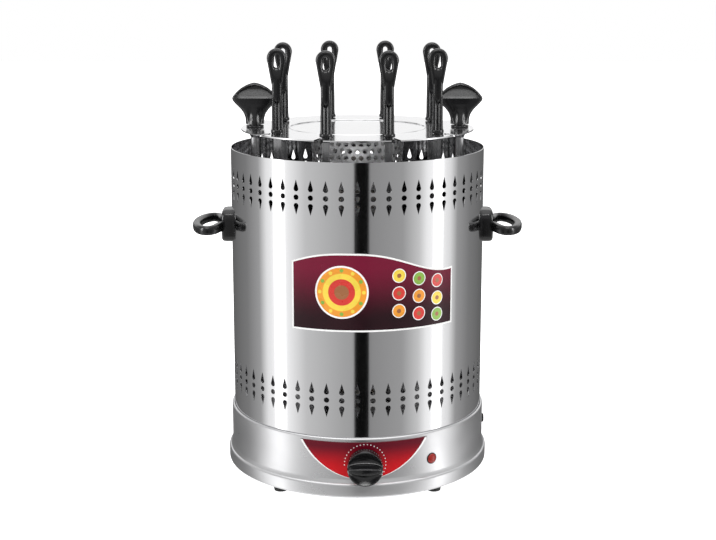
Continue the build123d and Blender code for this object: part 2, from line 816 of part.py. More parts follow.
with BuildPart() as timer_knob:
    with BuildSketch(front.offset(-knob_back)):
        with Locations((knob_x, knob_height)):
            Circle(knob_radius)
    extrude(amount=knob_skirt_height)
    chamfer(timer_knob.edges().group_by(Axis.Y)[0], knob_edge)
    with BuildSketch(front.offset(-knob_back)):
        with Locations((knob_x, knob_height)):
            Rectangle(2 * (knob_radius - knob_bar_inset), knob_bar_width)
            Circle(knob_radius - knob_bar_round, mode=Mode.INTERSECT)
    extrude(amount=knob_depth)
    with BuildSketch(front.offset(-knob_back)):
        with Locations((knob_x, knob_height)):
            Circle(timer_shaft_radius)
    extrude(amount=knob_depth - knob_cap, mode=Mode.SUBTRACT)
save(timer_knob.part, "timer_knob")

panel_top = base_top - panel_top_below_base
panel_bottom = flange_top + flange_shoulder + panel_tip_above_flange
panel_side_level = panel_bottom + panel_side_rise * (panel_top - panel_bottom)
top_left = (panel_offset - panel_half_width, panel_top)
top_right = (panel_offset + panel_half_width, panel_top)
with BuildPart() as control_panel:
    with BuildSketch(front):
        with BuildLine():
            Line(top_left, top_right)
            ThreePointArc(
                top_right,
                (panel_offset + panel_side_share * panel_half_width, panel_side_level),
                (panel_offset + panel_tip_half_width, panel_bottom),
            )
            Line(
                (panel_offset + panel_tip_half_width, panel_bottom),
                (panel_offset - panel_tip_half_width, panel_bottom),
            )
            ThreePointArc(
                (panel_offset - panel_tip_half_width, panel_bottom),
                (panel_offset - panel_side_share * panel_half_width, panel_side_level),
                top_left,
            )
        make_face()
    extrude(amount=flange_radius)
    revolve(
        ring_profile(base_radius, base_radius + panel_sheet, panel_bottom, panel_top),
        axis=Axis.Z,
        mode=Mode.INTERSECT,
    )
    with BuildSketch(front):
        with Locations((knob_x, knob_height)):
            Circle(timer_shaft_radius + knob_hole_gap)
    extrude(amount=flange_radius, mode=Mode.SUBTRACT)
save(control_panel.part, "control_panel")

lamp_plane = facing(lamp_angle)
with BuildPart() as indicator_lens:
    with BuildSketch(lamp_plane.offset(base_radius)):
        with Locations((0, lamp_height)):
            Circle(lamp_radius)
    extrude(amount=lamp_proud)
    fillet(indicator_lens.edges().sort_by(Axis.Y)[0], lens_round)
save(indicator_lens.part, "indicator_lens")

with BuildPart() as lamp_body:
    with BuildSketch(lamp_plane.offset(base_radius)):
        with Locations((0, lamp_height)):
            Circle(lamp_body_radius - running_clearance)
    extrude(amount=-lamp_body_length)
save(lamp_body.part, "lamp_body")

with BuildPart() as cord_gland:
    with BuildSketch(Plane.YZ.offset(base_radius)):
        with Locations((0, gland_height)):
            Circle(gland_radius)
    extrude(amount=gland_proud)
    with BuildSketch(Plane.YZ.offset(base_inside - gland_flange)):
        with Locations((0, gland_height)):
            Circle(gland_radius)
    extrude(amount=gland_flange - shell_gap)
    with BuildSketch(Plane.YZ.offset(base_inside - gland_flange)):
        with Locations((0, gland_height)):
            Circle(gland_radius - gland_wall - running_clearance)
    extrude(amount=2 * gland_flange)
    with BuildSketch(Plane.YZ.offset(base_inside - gland_flange)):
        with Locations((0, gland_height)):
            Circle(gland_bore_radius)
    extrude(amount=base_sheet + gland_proud + gland_flange, mode=Mode.SUBTRACT)
save(cord_gland.part, "cord_gland")

with BuildPart() as terminal_block:
    with BuildSketch(Plane.XY.offset(plate_top)):
        with Locations(terminal_place):
            Rectangle(terminal_length, terminal_width)
    extrude(amount=terminal_height)
    with BuildSketch(Plane.XY.offset(plate_top + terminal_height)):
        with Locations(terminal_place):
            with GridLocations(terminal_bore_pitch, 1, terminal_bore_count, 1):
                Circle(terminal_bore_radius)
    extrude(amount=-terminal_bore_depth, mode=Mode.SUBTRACT)
save(terminal_block.part, "terminal_block")

# ---------------------------------------------------------------- shell, label and side handles
drop_radius = drop_width / 2
drop_tip = drop_height - drop_radius
drop_touch = acos(drop_radius / drop_tip)


def drop_shape(up):
    """Teardrop whose blunt end is at the origin and whose point is away from it; up is 1 or -1."""
    centre = up * drop_radius
    side, rise = drop_radius * sin(drop_touch), up * drop_radius * cos(drop_touch)
    with BuildSketch(mode=Mode.PRIVATE) as drop:
        with BuildLine():
            ThreePointArc((side, centre + rise), (0, 0), (-side, centre + rise))
            Polyline((-side, centre + rise), (0, centre + up * drop_tip), (side, centre + rise))
        make_face()
    return drop.sketch


band_levels = (rim_height - upper_band_below_rim, base_top + lower_band_above_base)
screw_places = [(side * handle_screw_spacing / 2, handle_height) for side in (-1, 1)]
with BuildPart() as outer_shell:
    revolve(ring_profile(shell_inside, shell_radius, shell_bottom, rim_height), axis=Axis.Z)
    columns = [facing(360 * n / hole_columns).offset(shell_inside - shell_sheet) for n in range(hole_columns)]
    with BuildSketch(*columns):
        with Locations(*[(0, level) for level in band_levels]):
            Circle(dot_diameter / 2)
        with Locations(*[(0, level + drop_offset) for level in band_levels]):
            add(drop_shape(1))
        with Locations(*[(0, level - drop_offset) for level in band_levels]):
            add(drop_shape(-1))
    extrude(amount=3 * shell_sheet, mode=Mode.SUBTRACT)
    with BuildSketch(Plane.YZ):
        with Locations(*screw_places):
            Circle(screw_radius)
    extrude(amount=shell_radius + shell_sheet, both=True, mode=Mode.SUBTRACT)
save(outer_shell.part, "outer_shell")

label_middle = -90 + label_offset_angle
label_top = label_bottom + label_height
label_left, label_centre, label_right = on_circle(
    2 * shell_radius,
    (label_middle - label_half_angle, label_middle, label_middle + label_half_angle),
)
with BuildPart() as front_label:
    revolve(ring_profile(shell_radius, shell_radius + label_sheet, label_bottom, label_top), axis=Axis.Z)
    with BuildSketch():
        with BuildLine():
            Polyline(label_left, (0, 0), label_right)
            ThreePointArc(label_left, label_centre, label_right)
        make_face()
    extrude(amount=rim_height, mode=Mode.INTERSECT)
save(front_label.part, "front_label")

block_face = shell_radius + handle_block_depth
loop_root = block_face - handle_root_overlap
hole_root = block_face + handle_hole_gap
corner_reach = shell_radius + handle_corner_reach
hole_corner_reach = corner_reach + handle_bar_width - handle_cutter_depth
hole_half_width = handle_half_width - handle_bar_width
loop_reach = shell_radius + handle_reach
leg_root = handle_block_half_width - handle_bar_width
cutter_face = shell_inside - handle_cutter_depth
head_seat = sqrt(shell_inside**2 - (handle_screw_spacing / 2 + screw_head_radius) ** 2)
for side, turn in (("left", 180), ("right", 0)):
    upright = facing(90 + turn)
    with BuildPart() as side_handle:
        with BuildSketch(Plane.XY.rotated((0, 0, turn)).offset(handle_height - handle_bar_height / 2)):
            with BuildLine():
                outer = Polyline(
                    (corner_reach, handle_half_width),
                    (loop_root, handle_block_half_width),
                    (loop_root, -handle_block_half_width),
                    (corner_reach, -handle_half_width),
                )
                ThreePointArc(outer @ 1, (loop_reach, 0), outer @ 0)
            make_face()
            with BuildLine():
                inner = Polyline(
                    (hole_corner_reach, hole_half_width),
                    (hole_root, leg_root),
                    (hole_root, -leg_root),
                    (hole_corner_reach, -hole_half_width),
                )
                ThreePointArc(inner @ 1, (loop_reach - handle_bar_width, 0), inner @ 0)
            make_face(mode=Mode.SUBTRACT)
        extrude(amount=handle_bar_height)
        fillet(side_handle.edges().filter_by(Axis.Z).group_by(SortBy.DISTANCE)[-1], handle_corner_round)
        with BuildSketch(upright.offset(cutter_face)):
            with Locations((0, handle_height)):
                RectangleRounded(2 * handle_block_half_width, handle_block_height, handle_block_round)
        extrude(amount=block_face - cutter_face)
        revolve(ring_profile(0, shell_radius, 0, rim_height), axis=Axis.Z, mode=Mode.SUBTRACT)
        with BuildSketch(upright.offset(cutter_face)):
            with Locations(*screw_places):
                Circle(handle_screw_radius)
        extrude(amount=handle_block_depth, mode=Mode.SUBTRACT)
    save(side_handle.part, f"side_handle_{side}")

with BuildPart() as handle_screws:
    for upright in (facing(90), facing(270)):
        with BuildSketch(upright.offset(head_seat - screw_head_height)):
            with Locations(*screw_places):
                Circle(screw_head_radius)
        extrude(amount=screw_head_height)
        with BuildSketch(upright.offset(head_seat)):
            with Locations(*screw_places):
                Circle(handle_screw_radius - running_clearance)
        extrude(amount=handle_block_depth - handle_cutter_depth)
save(handle_screws.part, "handle_screws")
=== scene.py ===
import bpy
import bmesh
import json
import numpy as np
from math import radians
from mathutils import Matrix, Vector

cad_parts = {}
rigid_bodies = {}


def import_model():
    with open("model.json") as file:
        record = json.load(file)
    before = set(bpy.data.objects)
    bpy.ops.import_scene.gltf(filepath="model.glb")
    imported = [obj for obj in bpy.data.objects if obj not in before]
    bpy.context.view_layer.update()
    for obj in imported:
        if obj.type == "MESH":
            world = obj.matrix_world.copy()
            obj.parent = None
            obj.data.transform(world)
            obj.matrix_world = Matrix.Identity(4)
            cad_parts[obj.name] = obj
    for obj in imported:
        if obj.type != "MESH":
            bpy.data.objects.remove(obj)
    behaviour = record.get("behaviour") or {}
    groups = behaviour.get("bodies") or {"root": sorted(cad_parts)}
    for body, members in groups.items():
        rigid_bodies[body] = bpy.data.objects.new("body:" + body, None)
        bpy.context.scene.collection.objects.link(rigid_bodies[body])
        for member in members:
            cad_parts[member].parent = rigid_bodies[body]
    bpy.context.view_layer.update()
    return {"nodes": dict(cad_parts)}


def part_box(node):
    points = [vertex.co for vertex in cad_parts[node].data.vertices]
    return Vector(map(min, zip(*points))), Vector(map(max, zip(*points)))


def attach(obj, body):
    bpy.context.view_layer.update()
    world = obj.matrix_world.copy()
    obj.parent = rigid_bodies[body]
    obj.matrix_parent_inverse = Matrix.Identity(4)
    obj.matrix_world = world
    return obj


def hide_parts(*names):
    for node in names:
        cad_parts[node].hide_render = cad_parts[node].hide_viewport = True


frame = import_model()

mm = 0.001
fullTurn = 2 * np.pi


def edges(node):  # lowest and highest corners of a CAD node, as two arrays
    low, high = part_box(node)
    return np.array(low), np.array(high)


shellLow, shellHigh = edges("outer_shell")
baseLow, baseHigh = edges("base_housing")
shellRadius = round((shellHigh[0] - shellLow[0]) / 2, 4)
rimHeight = shellHigh[2]
baseTop = baseHigh[2]
baseBottom = baseLow[2]
discTop = edges("top_disc")[1][2]

# the camera stands in front, a little above the disc, and looks down
view = dict(distance=1.2835, height=0.4804, tilt=10.99, lens=68.26, shiftDown=0.05, side=0.0006)
camData = bpy.data.cameras.new("camera")
camData.lens = view["lens"]
camData.shift_y = -view["shiftDown"]
camera = bpy.data.objects.new("camera", camData)
camera.location = (view["side"], -view["distance"], view["height"])
camera.rotation_euler = (radians(90 - view["tilt"]), 0, 0)
bpy.context.scene.collection.objects.link(camera)
bpy.context.scene.camera = camera
bpy.context.scene.view_settings.view_transform = "Standard"
print("camera set")


def gridQuads(rows, columns, wrapRows=False, wrapColumns=False):
    # quads of a grid of points numbered row after row: (i, j), (i, j+1), (i+1, j+1), (i+1, j)
    i = np.arange(rows if wrapRows else rows - 1)[:, None]
    j = np.arange(columns if wrapColumns else columns - 1)[None, :]
    down, across = (i + 1) % rows, (j + 1) % columns
    corners = [i * columns + j, i * columns + across, down * columns + across, down * columns + j]
    return np.stack([c + 0 * i + 0 * j for c in corners], -1).reshape(-1, 4)


def joined(parts):  # several (points, quads) pairs as one
    points, quads, start = [], [], 0
    for p, q in parts:
        points.append(p.reshape(-1, 3))
        quads.append(q + start)
        start += len(points[-1])
    return np.concatenate(points), np.concatenate(quads)


def surface(points, wrapRows=False, wrapColumns=False):  # a (rows, columns, 3) array as points and quads
    rows, columns = points.shape[:2]
    return points.reshape(-1, 3), gridQuads(rows, columns, wrapRows, wrapColumns)


def capped(points):  # closes both ends of a tube of sections with a point at each section's middle
    first = np.repeat(points[:1].mean(1, keepdims=True), points.shape[1], 1)
    last = np.repeat(points[-1:].mean(1, keepdims=True), points.shape[1], 1)
    return surface(np.concatenate([first, points, last]), wrapColumns=True)


def addPiece(name, shape, material, body, replaced=(), sharp=32, axisRound=None, weld=1e-6):
    # whole arrays into a mesh; doubles are merged and faces turned outwards
    points, quads = shape
    mesh = bpy.data.meshes.new(name)
    mesh.vertices.add(len(points))
    mesh.vertices.foreach_set("co", np.ascontiguousarray(points, dtype=np.float32).ravel())
    mesh.loops.add(quads.size)
    mesh.loops.foreach_set("vertex_index", quads.astype(np.int32).ravel())
    mesh.polygons.add(len(quads))
    mesh.polygons.foreach_set("loop_start", np.arange(0, quads.size, 4, dtype=np.int32))
    mesh.update(calc_edges=True)
    mesh.validate()
    work = bmesh.new()
    work.from_mesh(mesh)
    bmesh.ops.remove_doubles(work, verts=work.verts, dist=weld)
    bmesh.ops.dissolve_degenerate(work, edges=work.edges, dist=weld)
    bmesh.ops.recalc_face_normals(work, faces=work.faces)
    work.to_mesh(mesh)
    work.free()
    mesh.polygons.foreach_set("use_smooth", np.ones(len(mesh.polygons), dtype=bool))
    mesh.set_sharp_from_angle(angle=radians(sharp))
    if axisRound is not None:
        roundNormals(mesh, axisRound)
    piece = bpy.data.objects.new(name, mesh)
    bpy.context.scene.collection.objects.link(piece)
    mesh.materials.append(material)
    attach(piece, body)
    if replaced:
        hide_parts(*replaced)
    return piece


def roundNormals(mesh, axis, nearlyRound=0.97):
    # faces that lie on a cylinder about Z through axis get its exact normals; nearlyRound is a cosine
    count = len(mesh.loops)
    vertexOf = np.empty(count, dtype=np.int32)
    mesh.loops.foreach_get("vertex_index", vertexOf)
    place = np.empty(len(mesh.vertices) * 3, dtype=np.float32)
    mesh.vertices.foreach_get("co", place)
    faceNormal = np.empty(len(mesh.polygons) * 3, dtype=np.float32)
    mesh.polygons.foreach_get("normal", faceNormal)
    total = np.empty(len(mesh.polygons), dtype=np.int32)
    mesh.polygons.foreach_get("loop_total", total)
    perCorner = np.repeat(faceNormal.reshape(-1, 3), total, axis=0)
    radial = place.reshape(-1, 3)[vertexOf] - np.array([axis[0], axis[1], 0], dtype=np.float32)
    radial[:, 2] = 0
    radial /= np.linalg.norm(radial, axis=1, keepdims=True) + 1e-9
    facing = (perCorner * radial).sum(1)
    exact = np.where(np.abs(facing)[:, None] > nearlyRound, radial * np.sign(facing)[:, None], perCorner)
    mesh.normals_split_custom_set(exact.tolist())


def lathe(profile, segments, centre=(0, 0, 0), along=(0, 0, 1), closed=False):
    # (radius, height) points turned about an axis through centre: radius times a unit ring plus height
    # along it
    profile = np.array(profile, dtype=float)
    angle = np.linspace(0, fullTurn, segments, endpoint=False)
    along = np.array(along, dtype=float) / np.linalg.norm(along)
    sideways = np.cross(along, (0, 0, 1.0) if abs(along[2]) < 0.9 else (1.0, 0, 0))
    sideways /= np.linalg.norm(sideways)
    other = np.cross(along, sideways)
    ring = np.cos(angle)[:, None] * sideways + np.sin(angle)[:, None] * other
    points = np.array(centre) + profile[:, 0, None, None] * ring + profile[:, 1, None, None] * along
    return surface(points, wrapRows=closed, wrapColumns=True)


def corner(middle, radius, start, stop, steps=6):  # arc of (radius, height) points, angles in degrees
    a = np.radians(np.linspace(start, stop, steps))
    return list(zip(middle[0] + radius * np.cos(a), middle[1] + radius * np.sin(a)))


def bulge(angle, power):  # signed power of cosine and sine: a rounded square for powers under 1
    c, s = np.cos(angle), np.sin(angle)
    return np.sign(c) * np.abs(c) ** power, np.sign(s) * np.abs(s) ** power


def ease(x):  # smooth step from 0 to 1
    x = np.clip(x, 0, 1)
    return x * x * (3 - 2 * x)


def splinePath(points, steps):
    # uniform cubic B-spline: each step weighs its four nearest control points, with both ends mirrored
    p = np.array(points, dtype=float)
    p = np.concatenate([2 * p[:1] - p[1:2], p, 2 * p[-1:] - p[-2:-1]])
    t = np.linspace(0, len(p) - 3 - 1e-9, steps)
    k, u = t.astype(int), (t % 1)[:, None]
    weights = [(1 - u) ** 3 / 6, (3 * u**3 - 6 * u**2 + 4) / 6,
               (-3 * u**3 + 3 * u**2 + 3 * u + 1) / 6, u**3 / 6]
    return sum(w * p[k + n] for n, w in enumerate(weights))


def newMaterial(name):  # a node material, its tree and its Principled shader
    material = bpy.data.materials.new(name)
    material.use_nodes = True
    tree = material.node_tree
    shader = tree.nodes["Principled BSDF"]
    return material, tree, shader


def objectNoise(tree, scale, stretch=(1, 1, 1), detail=3.0):  # noise on stretched Object coordinates
    where = tree.nodes.new("ShaderNodeTexCoord")
    mapping = tree.nodes.new("ShaderNodeMapping")
    mapping.inputs["Scale"].default_value = stretch
    noise = tree.nodes.new("ShaderNodeTexNoise")
    noise.inputs["Scale"].default_value = scale
    noise.inputs["Detail"].default_value = detail
    tree.links.new(where.outputs["Object"], mapping.inputs["Vector"])
    tree.links.new(mapping.outputs["Vector"], noise.inputs["Vector"])
    return noise.outputs["Fac"]


def spread(tree, value, low, high):  # noise, which mostly lies from 0.3 to 0.7, mapped onto a range
    ramp = tree.nodes.new("ShaderNodeMapRange")
    ramp.inputs["From Min"].default_value = 0.3
    ramp.inputs["From Max"].default_value = 0.7
    ramp.inputs["To Min"].default_value = low
    ramp.inputs["To Max"].default_value = high
    tree.links.new(value, ramp.inputs["Value"])
    return ramp.outputs["Result"]


def bumpFrom(tree, shader, value, strength, distance=0.2 * mm):  # value taken as height, up to distance
    bump = tree.nodes.new("ShaderNodeBump")
    bump.inputs["Strength"].default_value = strength
    bump.inputs["Distance"].default_value = distance
    tree.links.new(value, bump.inputs["Height"])
    tree.links.new(bump.outputs["Normal"], shader.inputs["Normal"])


def steel(name, colour, roughness, grain, stretch, bump):
    # metal whose roughness is a fine noise plus a faint cloud; the fine noise is also its relief
    material, tree, shader = newMaterial(name)
    shader.inputs["Metallic"].default_value = 1.0
    shader.inputs["Base Color"].default_value = (*colour, 1)
    lines = objectNoise(tree, grain, stretch, 4.0)
    cloud = objectNoise(tree, 14.0, (1, 1, 0.5), 2.0)
    add = tree.nodes.new("ShaderNodeMath")
    add.operation = "ADD"
    tree.links.new(spread(tree, lines, roughness * 0.8, roughness * 1.2), add.inputs[0])
    tree.links.new(spread(tree, cloud, 0.0, roughness * 0.18), add.inputs[1])
    tree.links.new(add.outputs[0], shader.inputs["Roughness"])
    bumpFrom(tree, shader, lines, bump)
    return material


def paintInnerShade(material, radius, outside, inside):
    # the colour changes where a point lies nearer to the Z axis than radius: inside is painted shade on a
    # wall's inner face
    tree = material.node_tree
    where = tree.nodes.new("ShaderNodeTexCoord")
    flat = tree.nodes.new("ShaderNodeVectorMath")
    flat.operation = "MULTIPLY"
    flat.inputs[1].default_value = (1, 1, 0)
    away = tree.nodes.new("ShaderNodeVectorMath")
    away.operation = "LENGTH"
    beyond = tree.nodes.new("ShaderNodeMath")
    beyond.operation = "GREATER_THAN"
    beyond.inputs[1].default_value = radius
    mix = tree.nodes.new("ShaderNodeMix")
    mix.data_type = "RGBA"
    mix.inputs[6].default_value = (*inside, 1)
    mix.inputs[7].default_value = (*outside, 1)
    tree.links.new(where.outputs["Object"], flat.inputs[0])
    tree.links.new(flat.outputs["Vector"], away.inputs[0])
    tree.links.new(away.outputs["Value"], beyond.inputs[0])
    tree.links.new(beyond.outputs[0], mix.inputs[0])
    tree.links.new(mix.outputs[2], tree.nodes["Principled BSDF"].inputs["Base Color"])


def plastic(name, colour, roughness, bump=0.06, grain=900.0, coat=0.0):
    # a cloud of noise swings the colour by a fifth and the roughness by a seventh either way
    material, tree, shader = newMaterial(name)
    cloud = objectNoise(tree, 60.0, detail=2.0)
    mix = tree.nodes.new("ShaderNodeMix")
    mix.data_type = "RGBA"
    mix.inputs[6].default_value = (*[c * 0.8 for c in colour], 1)
    mix.inputs[7].default_value = (*[min(1, c * 1.2 + 0.002) for c in colour], 1)
    tree.links.new(cloud, mix.inputs[0])
    tree.links.new(mix.outputs[2], shader.inputs["Base Color"])
    tree.links.new(spread(tree, cloud, roughness * 0.85, roughness * 1.15), shader.inputs["Roughness"])
    shader.inputs["Coat Weight"].default_value = coat
    shader.inputs["Coat Roughness"].default_value = 0.08
    bumpFrom(tree, shader, objectNoise(tree, grain), bump)
    return material


def heightBlend(name, lowColour, highColour, low, high, roughness, swirl):
    # a print that goes from lowColour at height low to highColour at height high, with a little mottling
    material, tree, shader = newMaterial(name)
    where = tree.nodes.new("ShaderNodeTexCoord")
    split = tree.nodes.new("ShaderNodeSeparateXYZ")
    tree.links.new(where.outputs["Object"], split.inputs[0])
    level = tree.nodes.new("ShaderNodeMapRange")
    level.interpolation_type = "SMOOTHSTEP"
    level.inputs["From Min"].default_value = low
    level.inputs["From Max"].default_value = high
    tree.links.new(split.outputs["Z"], level.inputs["Value"])
    noise = objectNoise(tree, 40.0, detail=2.0)
    shifted = tree.nodes.new("ShaderNodeMath")
    shifted.operation = "MULTIPLY_ADD"
    shifted.inputs[1].default_value = swirl
    tree.links.new(noise, shifted.inputs[0])
    tree.links.new(level.outputs["Result"], shifted.inputs[2])
    mix = tree.nodes.new("ShaderNodeMix")
    mix.data_type = "RGBA"
    mix.inputs[6].default_value = (*lowColour, 1)
    mix.inputs[7].default_value = (*highColour, 1)
    tree.links.new(shifted.outputs[0], mix.inputs[0])
    tree.links.new(mix.outputs[2], shader.inputs["Base Color"])
    tree.links.new(spread(tree, noise, roughness * 0.9, roughness * 1.1), shader.inputs["Roughness"])
    shader.inputs["Specular IOR Level"].default_value = 0.22
    return material


outerSteel = (0.82, 0.82, 0.83)
# the shell's inner face gets a darker grey: painted shade inside the shell
innerShadeGrey = (0.42, 0.42, 0.43)
shellSteel = steel("shellSteel", outerSteel, 0.075, 700.0, (1, 1, 0.02), 0.02)
paintInnerShade(shellSteel, shellRadius - 0.5 * mm, outerSteel, innerShadeGrey)
baseSteel = steel("baseSteel", (0.73, 0.73, 0.74), 0.29, 18.0, (1, 1, 2), 0.0)
discSteel = steel("discSteel", (0.88, 0.88, 0.89), 0.12, 260.0, (1, 1, 1), 0.008)
drumSteel = steel("drumSteel", (0.88, 0.88, 0.89), 0.3, 400.0, (1, 1, 0.1), 0.02)
bladeSteel = steel("bladeSteel", (0.80, 0.80, 0.81), 0.2, 900.0, (1, 1, 0.05), 0.05)
zincSteel = steel("zincSteel", (0.58, 0.60, 0.62), 0.36, 300.0, (1, 1, 1), 0.08)
brightTrim = steel("brightTrim", (0.92, 0.92, 0.92), 0.14, 500.0, (1, 1, 1), 0.02)
blackBakelite = plastic("blackBakelite", (0.0012, 0.0012, 0.0016), 0.25, 0.0, 500.0)
knobBlack = plastic("knobBlack", (0.004, 0.004, 0.0045), 0.2, 0.0, 700.0, 0.2)
blackRubber = plastic("blackRubber", (0.018, 0.018, 0.018), 0.62, 0.2, 900.0)
whiteNylon = plastic("whiteNylon", (0.82, 0.82, 0.78), 0.45)
ceramicWhite = plastic("ceramicWhite", (0.80, 0.78, 0.72), 0.35)
timerCase = plastic("timerCase", (0.70, 0.70, 0.66), 0.5)
motorCase = plastic("motorCase", (0.5, 0.51, 0.52), 0.38)
dotWhite = plastic("dotWhite", (0.9, 0.9, 0.88), 0.4)
lensRed = plastic("lensRed", (0.30, 0.012, 0.007), 0.12, 0.02, 300.0, 0.15)
panelRed = heightBlend("panelRed", (0.56, 0.001, 0.006), (0.11, 0.001, 0.010), 0.038, 0.064, 0.34, 0.10)
labelGround = heightBlend("labelGround", (0.012, 0.006, 0.008), (0.16, 0.008, 0.03), 0.175, 0.232, 0.25,
                          0.12)


def quartz():  # milky glass of the heating tubes
    material, tree, shader = newMaterial("quartzGlass")
    shader.inputs["Base Color"].default_value = (0.92, 0.88, 0.84, 1)
    shader.inputs["Transmission Weight"].default_value = 0.7
    tree.links.new(spread(tree, objectNoise(tree, 30.0), 0.10, 0.22), shader.inputs["Roughness"])
    return material


quartzGlass = quartz()
nodeMaterials = {
    "zincSteel": ["bottom_plate", "bottom_screws", "foot_screws", "gear_chassis", "chassis_pillars",
                  "gear_pins", "post_nuts", "motor_screws", "handle_screws", "timer_shaft"],
    "discSteel": ["top_disc"], "baseSteel": ["deck_plate", "drip_tray", "rack_posts"],
    "whiteNylon": ["sun_gear", "motor_pinion"] + [f"socket_gear_{n}" for n in range(1, 9)],
    "bladeSteel": [f"skewer_blade_{n}" for n in range(1, 9)],
    "ceramicWhite": ["heater_base", "heater_top_holder", "terminal_block"],
    "timerCase": ["timer_body", "lamp_body"], "motorCase": ["motor"],
    "quartzGlass": ["heating_tubes"], "blackRubber": ["cord_gland", "rubber_feet"],
}
for materialName, nodes in nodeMaterials.items():
    for node in nodes:
        carried = frame["nodes"][node]
        carried.data.materials.clear()
        carried.data.materials.append(bpy.data.materials[materialName])
print("materials ready")


def perforatedWall(radius, wall, columns, side, rows, plainStep=12 * mm):
    # a cylinder in rows of equal cells. A row is (low, high, reach, centre, stagger): reach(angle) is the
    # distance to a hole's edge from its middle, which is at height centre, or None for a plain wall, and
    # stagger is a share of a cell. A holed cell is a ring of quads from the hole's edge to the cell's
    # border, on the same angles
    width = fullTurn * radius / columns
    shapes = []

    def wrapped(across, height, depth):  # flat points rolled about Z, depth below the outer face
        angle = across / radius
        return np.stack([(radius - depth) * np.sin(angle), -(radius - depth) * np.cos(angle), height], -1)

    step = np.linspace(-0.5, 0.5, side + 1)[:-1]
    around = (np.arange(columns * side) / side - 0.5) * width
    for low, high, reach, centre, stagger in rows:
        if reach is None:
            height = np.linspace(low, high, max(2, int((high - low) / plainStep) + 1))[:, None]
            for depth in (0.0, wall):
                flat = wrapped(around[None, :] + 0 * height, height + 0 * around[None, :], depth)
                shapes.append(surface(flat, wrapColumns=True))
            continue
        offsets = (np.arange(columns) + stagger)[:, None] * width
        borderX = np.concatenate([step, 0 * step + 0.5, -step, 0 * step - 0.5]) * width
        borderZ = np.concatenate([0 * step, step + 0.5, 0 * step + 1, 0.5 - step]) * (high - low) + low
        angle = np.arctan2(borderZ - centre, borderX)
        holeX = reach(angle) * np.cos(angle)
        holeZ = reach(angle) * np.sin(angle) + centre
        outer, inner = (np.stack([wrapped(offsets + holeX, 0 * offsets + holeZ, depth),
                                  wrapped(offsets + borderX, 0 * offsets + borderZ, depth)], 1)
                        for depth in (0.0, wall))
        rim = np.stack([outer[:, 0], inner[:, 0]], 1)
        cell = gridQuads(2, len(step) * 4, wrapColumns=True)
        perCell = 2 * len(step) * 4
        quads = (cell[None] + np.arange(columns)[:, None, None] * perCell).reshape(-1, 4)
        shapes += [(ring.reshape(-1, 3), quads) for ring in (outer, inner, rim)]
    for level in (rows[0][0], rows[-1][1]):
        height = level + 0 * around
        edge = np.stack([wrapped(around, height, 0.0), wrapped(around, height, wall)])
        shapes.append(surface(edge, wrapColumns=True))
    return joined(shapes)


def roundHole(radius):  # the same reach at every angle
    return lambda angle: radius + 0 * angle


def dropHole(radius, tip, up):
    # a circle and its two tangents from a point tip away: radius / cos(half - off) within half of the
    # tip's angle
    half = np.arccos(radius / tip)

    def reach(angle):
        off = np.abs((angle - up * np.pi / 2 + np.pi) % fullTurn - np.pi)
        return np.where(off < half, radius / np.cos(half - off), radius)

    return reach


shellPiece = dict(columns=54, side=6, wall=0.8 * mm, dotRadius=2.5 * mm, dropRadius=2.4 * mm,
                  dropTip=8.3 * mm, dropOffset=5.1 * mm, upperBelowRim=32.1 * mm,
                  lowerAboveBase=34.5 * mm, dotCell=3.8 * mm, bandHalf=17.2 * mm, weld=4e-6)


def bandRows(centre, s):  # drops pointing down, dots, and drops pointing up, about height centre
    blunt, dot, half = s["dropOffset"] + s["dropRadius"], s["dotCell"], s["bandHalf"]
    return [(centre - half, centre - dot, dropHole(s["dropRadius"], s["dropTip"], -1), centre - blunt, 0),
            (centre - dot, centre + dot, roundHole(s["dotRadius"]), centre, 0),
            (centre + dot, centre + half, dropHole(s["dropRadius"], s["dropTip"], 1), centre + blunt, 0)]


def makeShell(s):
    # plain wall, a band of holes above the base, plain wall, a band below the rim, plain wall
    lower, upper = baseTop + s["lowerAboveBase"], rimHeight - s["upperBelowRim"]
    rows = [(shellLow[2], lower - s["bandHalf"], None, 0, 0)] + bandRows(lower, s)
    rows += [(lower + s["bandHalf"], upper - s["bandHalf"], None, 0, 0)] + bandRows(upper, s)
    rows += [(upper + s["bandHalf"], rimHeight, None, 0, 0)]
    shape = perforatedWall(shellRadius, s["wall"], s["columns"], s["side"], rows)
    addPiece("shellWall", shape, shellSteel, "shell", ["outer_shell"],
             axisRound=(0, 0), weld=s["weld"])


makeShell(shellPiece)
print("shell made")

drumPiece = dict(columns=38, side=2, wall=0.8 * mm, holeRadius=2.5 * mm, rows=40, border=4 * mm,
                 weld=4e-6)


def makeDrum(s):  # rows of round holes, every second row set half a cell over
    low, high = edges("guard_drum")
    radius = (high[0] - low[0]) / 2
    first, last = low[2] + s["border"], high[2] - s["border"]
    pitch = (last - first) / s["rows"]
    rows = [(low[2], first, None, 0, 0)]
    for n in range(s["rows"]):
        middle = first + (n + 0.5) * pitch
        bottom, top = first + n * pitch, first + (n + 1) * pitch
        rows.append((bottom, top, roundHole(s["holeRadius"]), middle, (n % 2) / 2))
    rows.append((last, high[2], None, 0, 0))
    shape = perforatedWall(radius, s["wall"], s["columns"], s["side"], rows)
    addPiece("drumWall", shape, drumSteel, "base", ["guard_drum"],
             axisRound=(0, 0), weld=s["weld"])


makeDrum(drumPiece)
print("drum made")

basePiece = dict(segments=288, sheet=1.2 * mm, wallRadius=122.5 * mm, flangeTop=13.4 * mm,
                 shoulder=4.0 * mm, curl=1.7 * mm, bottomCurl=2.0 * mm, flangeCurl=2.6 * mm,
                 flangeSide=6 * mm, shoulderDip=1.3 * mm, seam=0.3 * mm, lip=0.4 * mm,
                 flangeInside=2 * mm, footInside=3 * mm, shelf=7.2 * mm, shelfSegments=144)


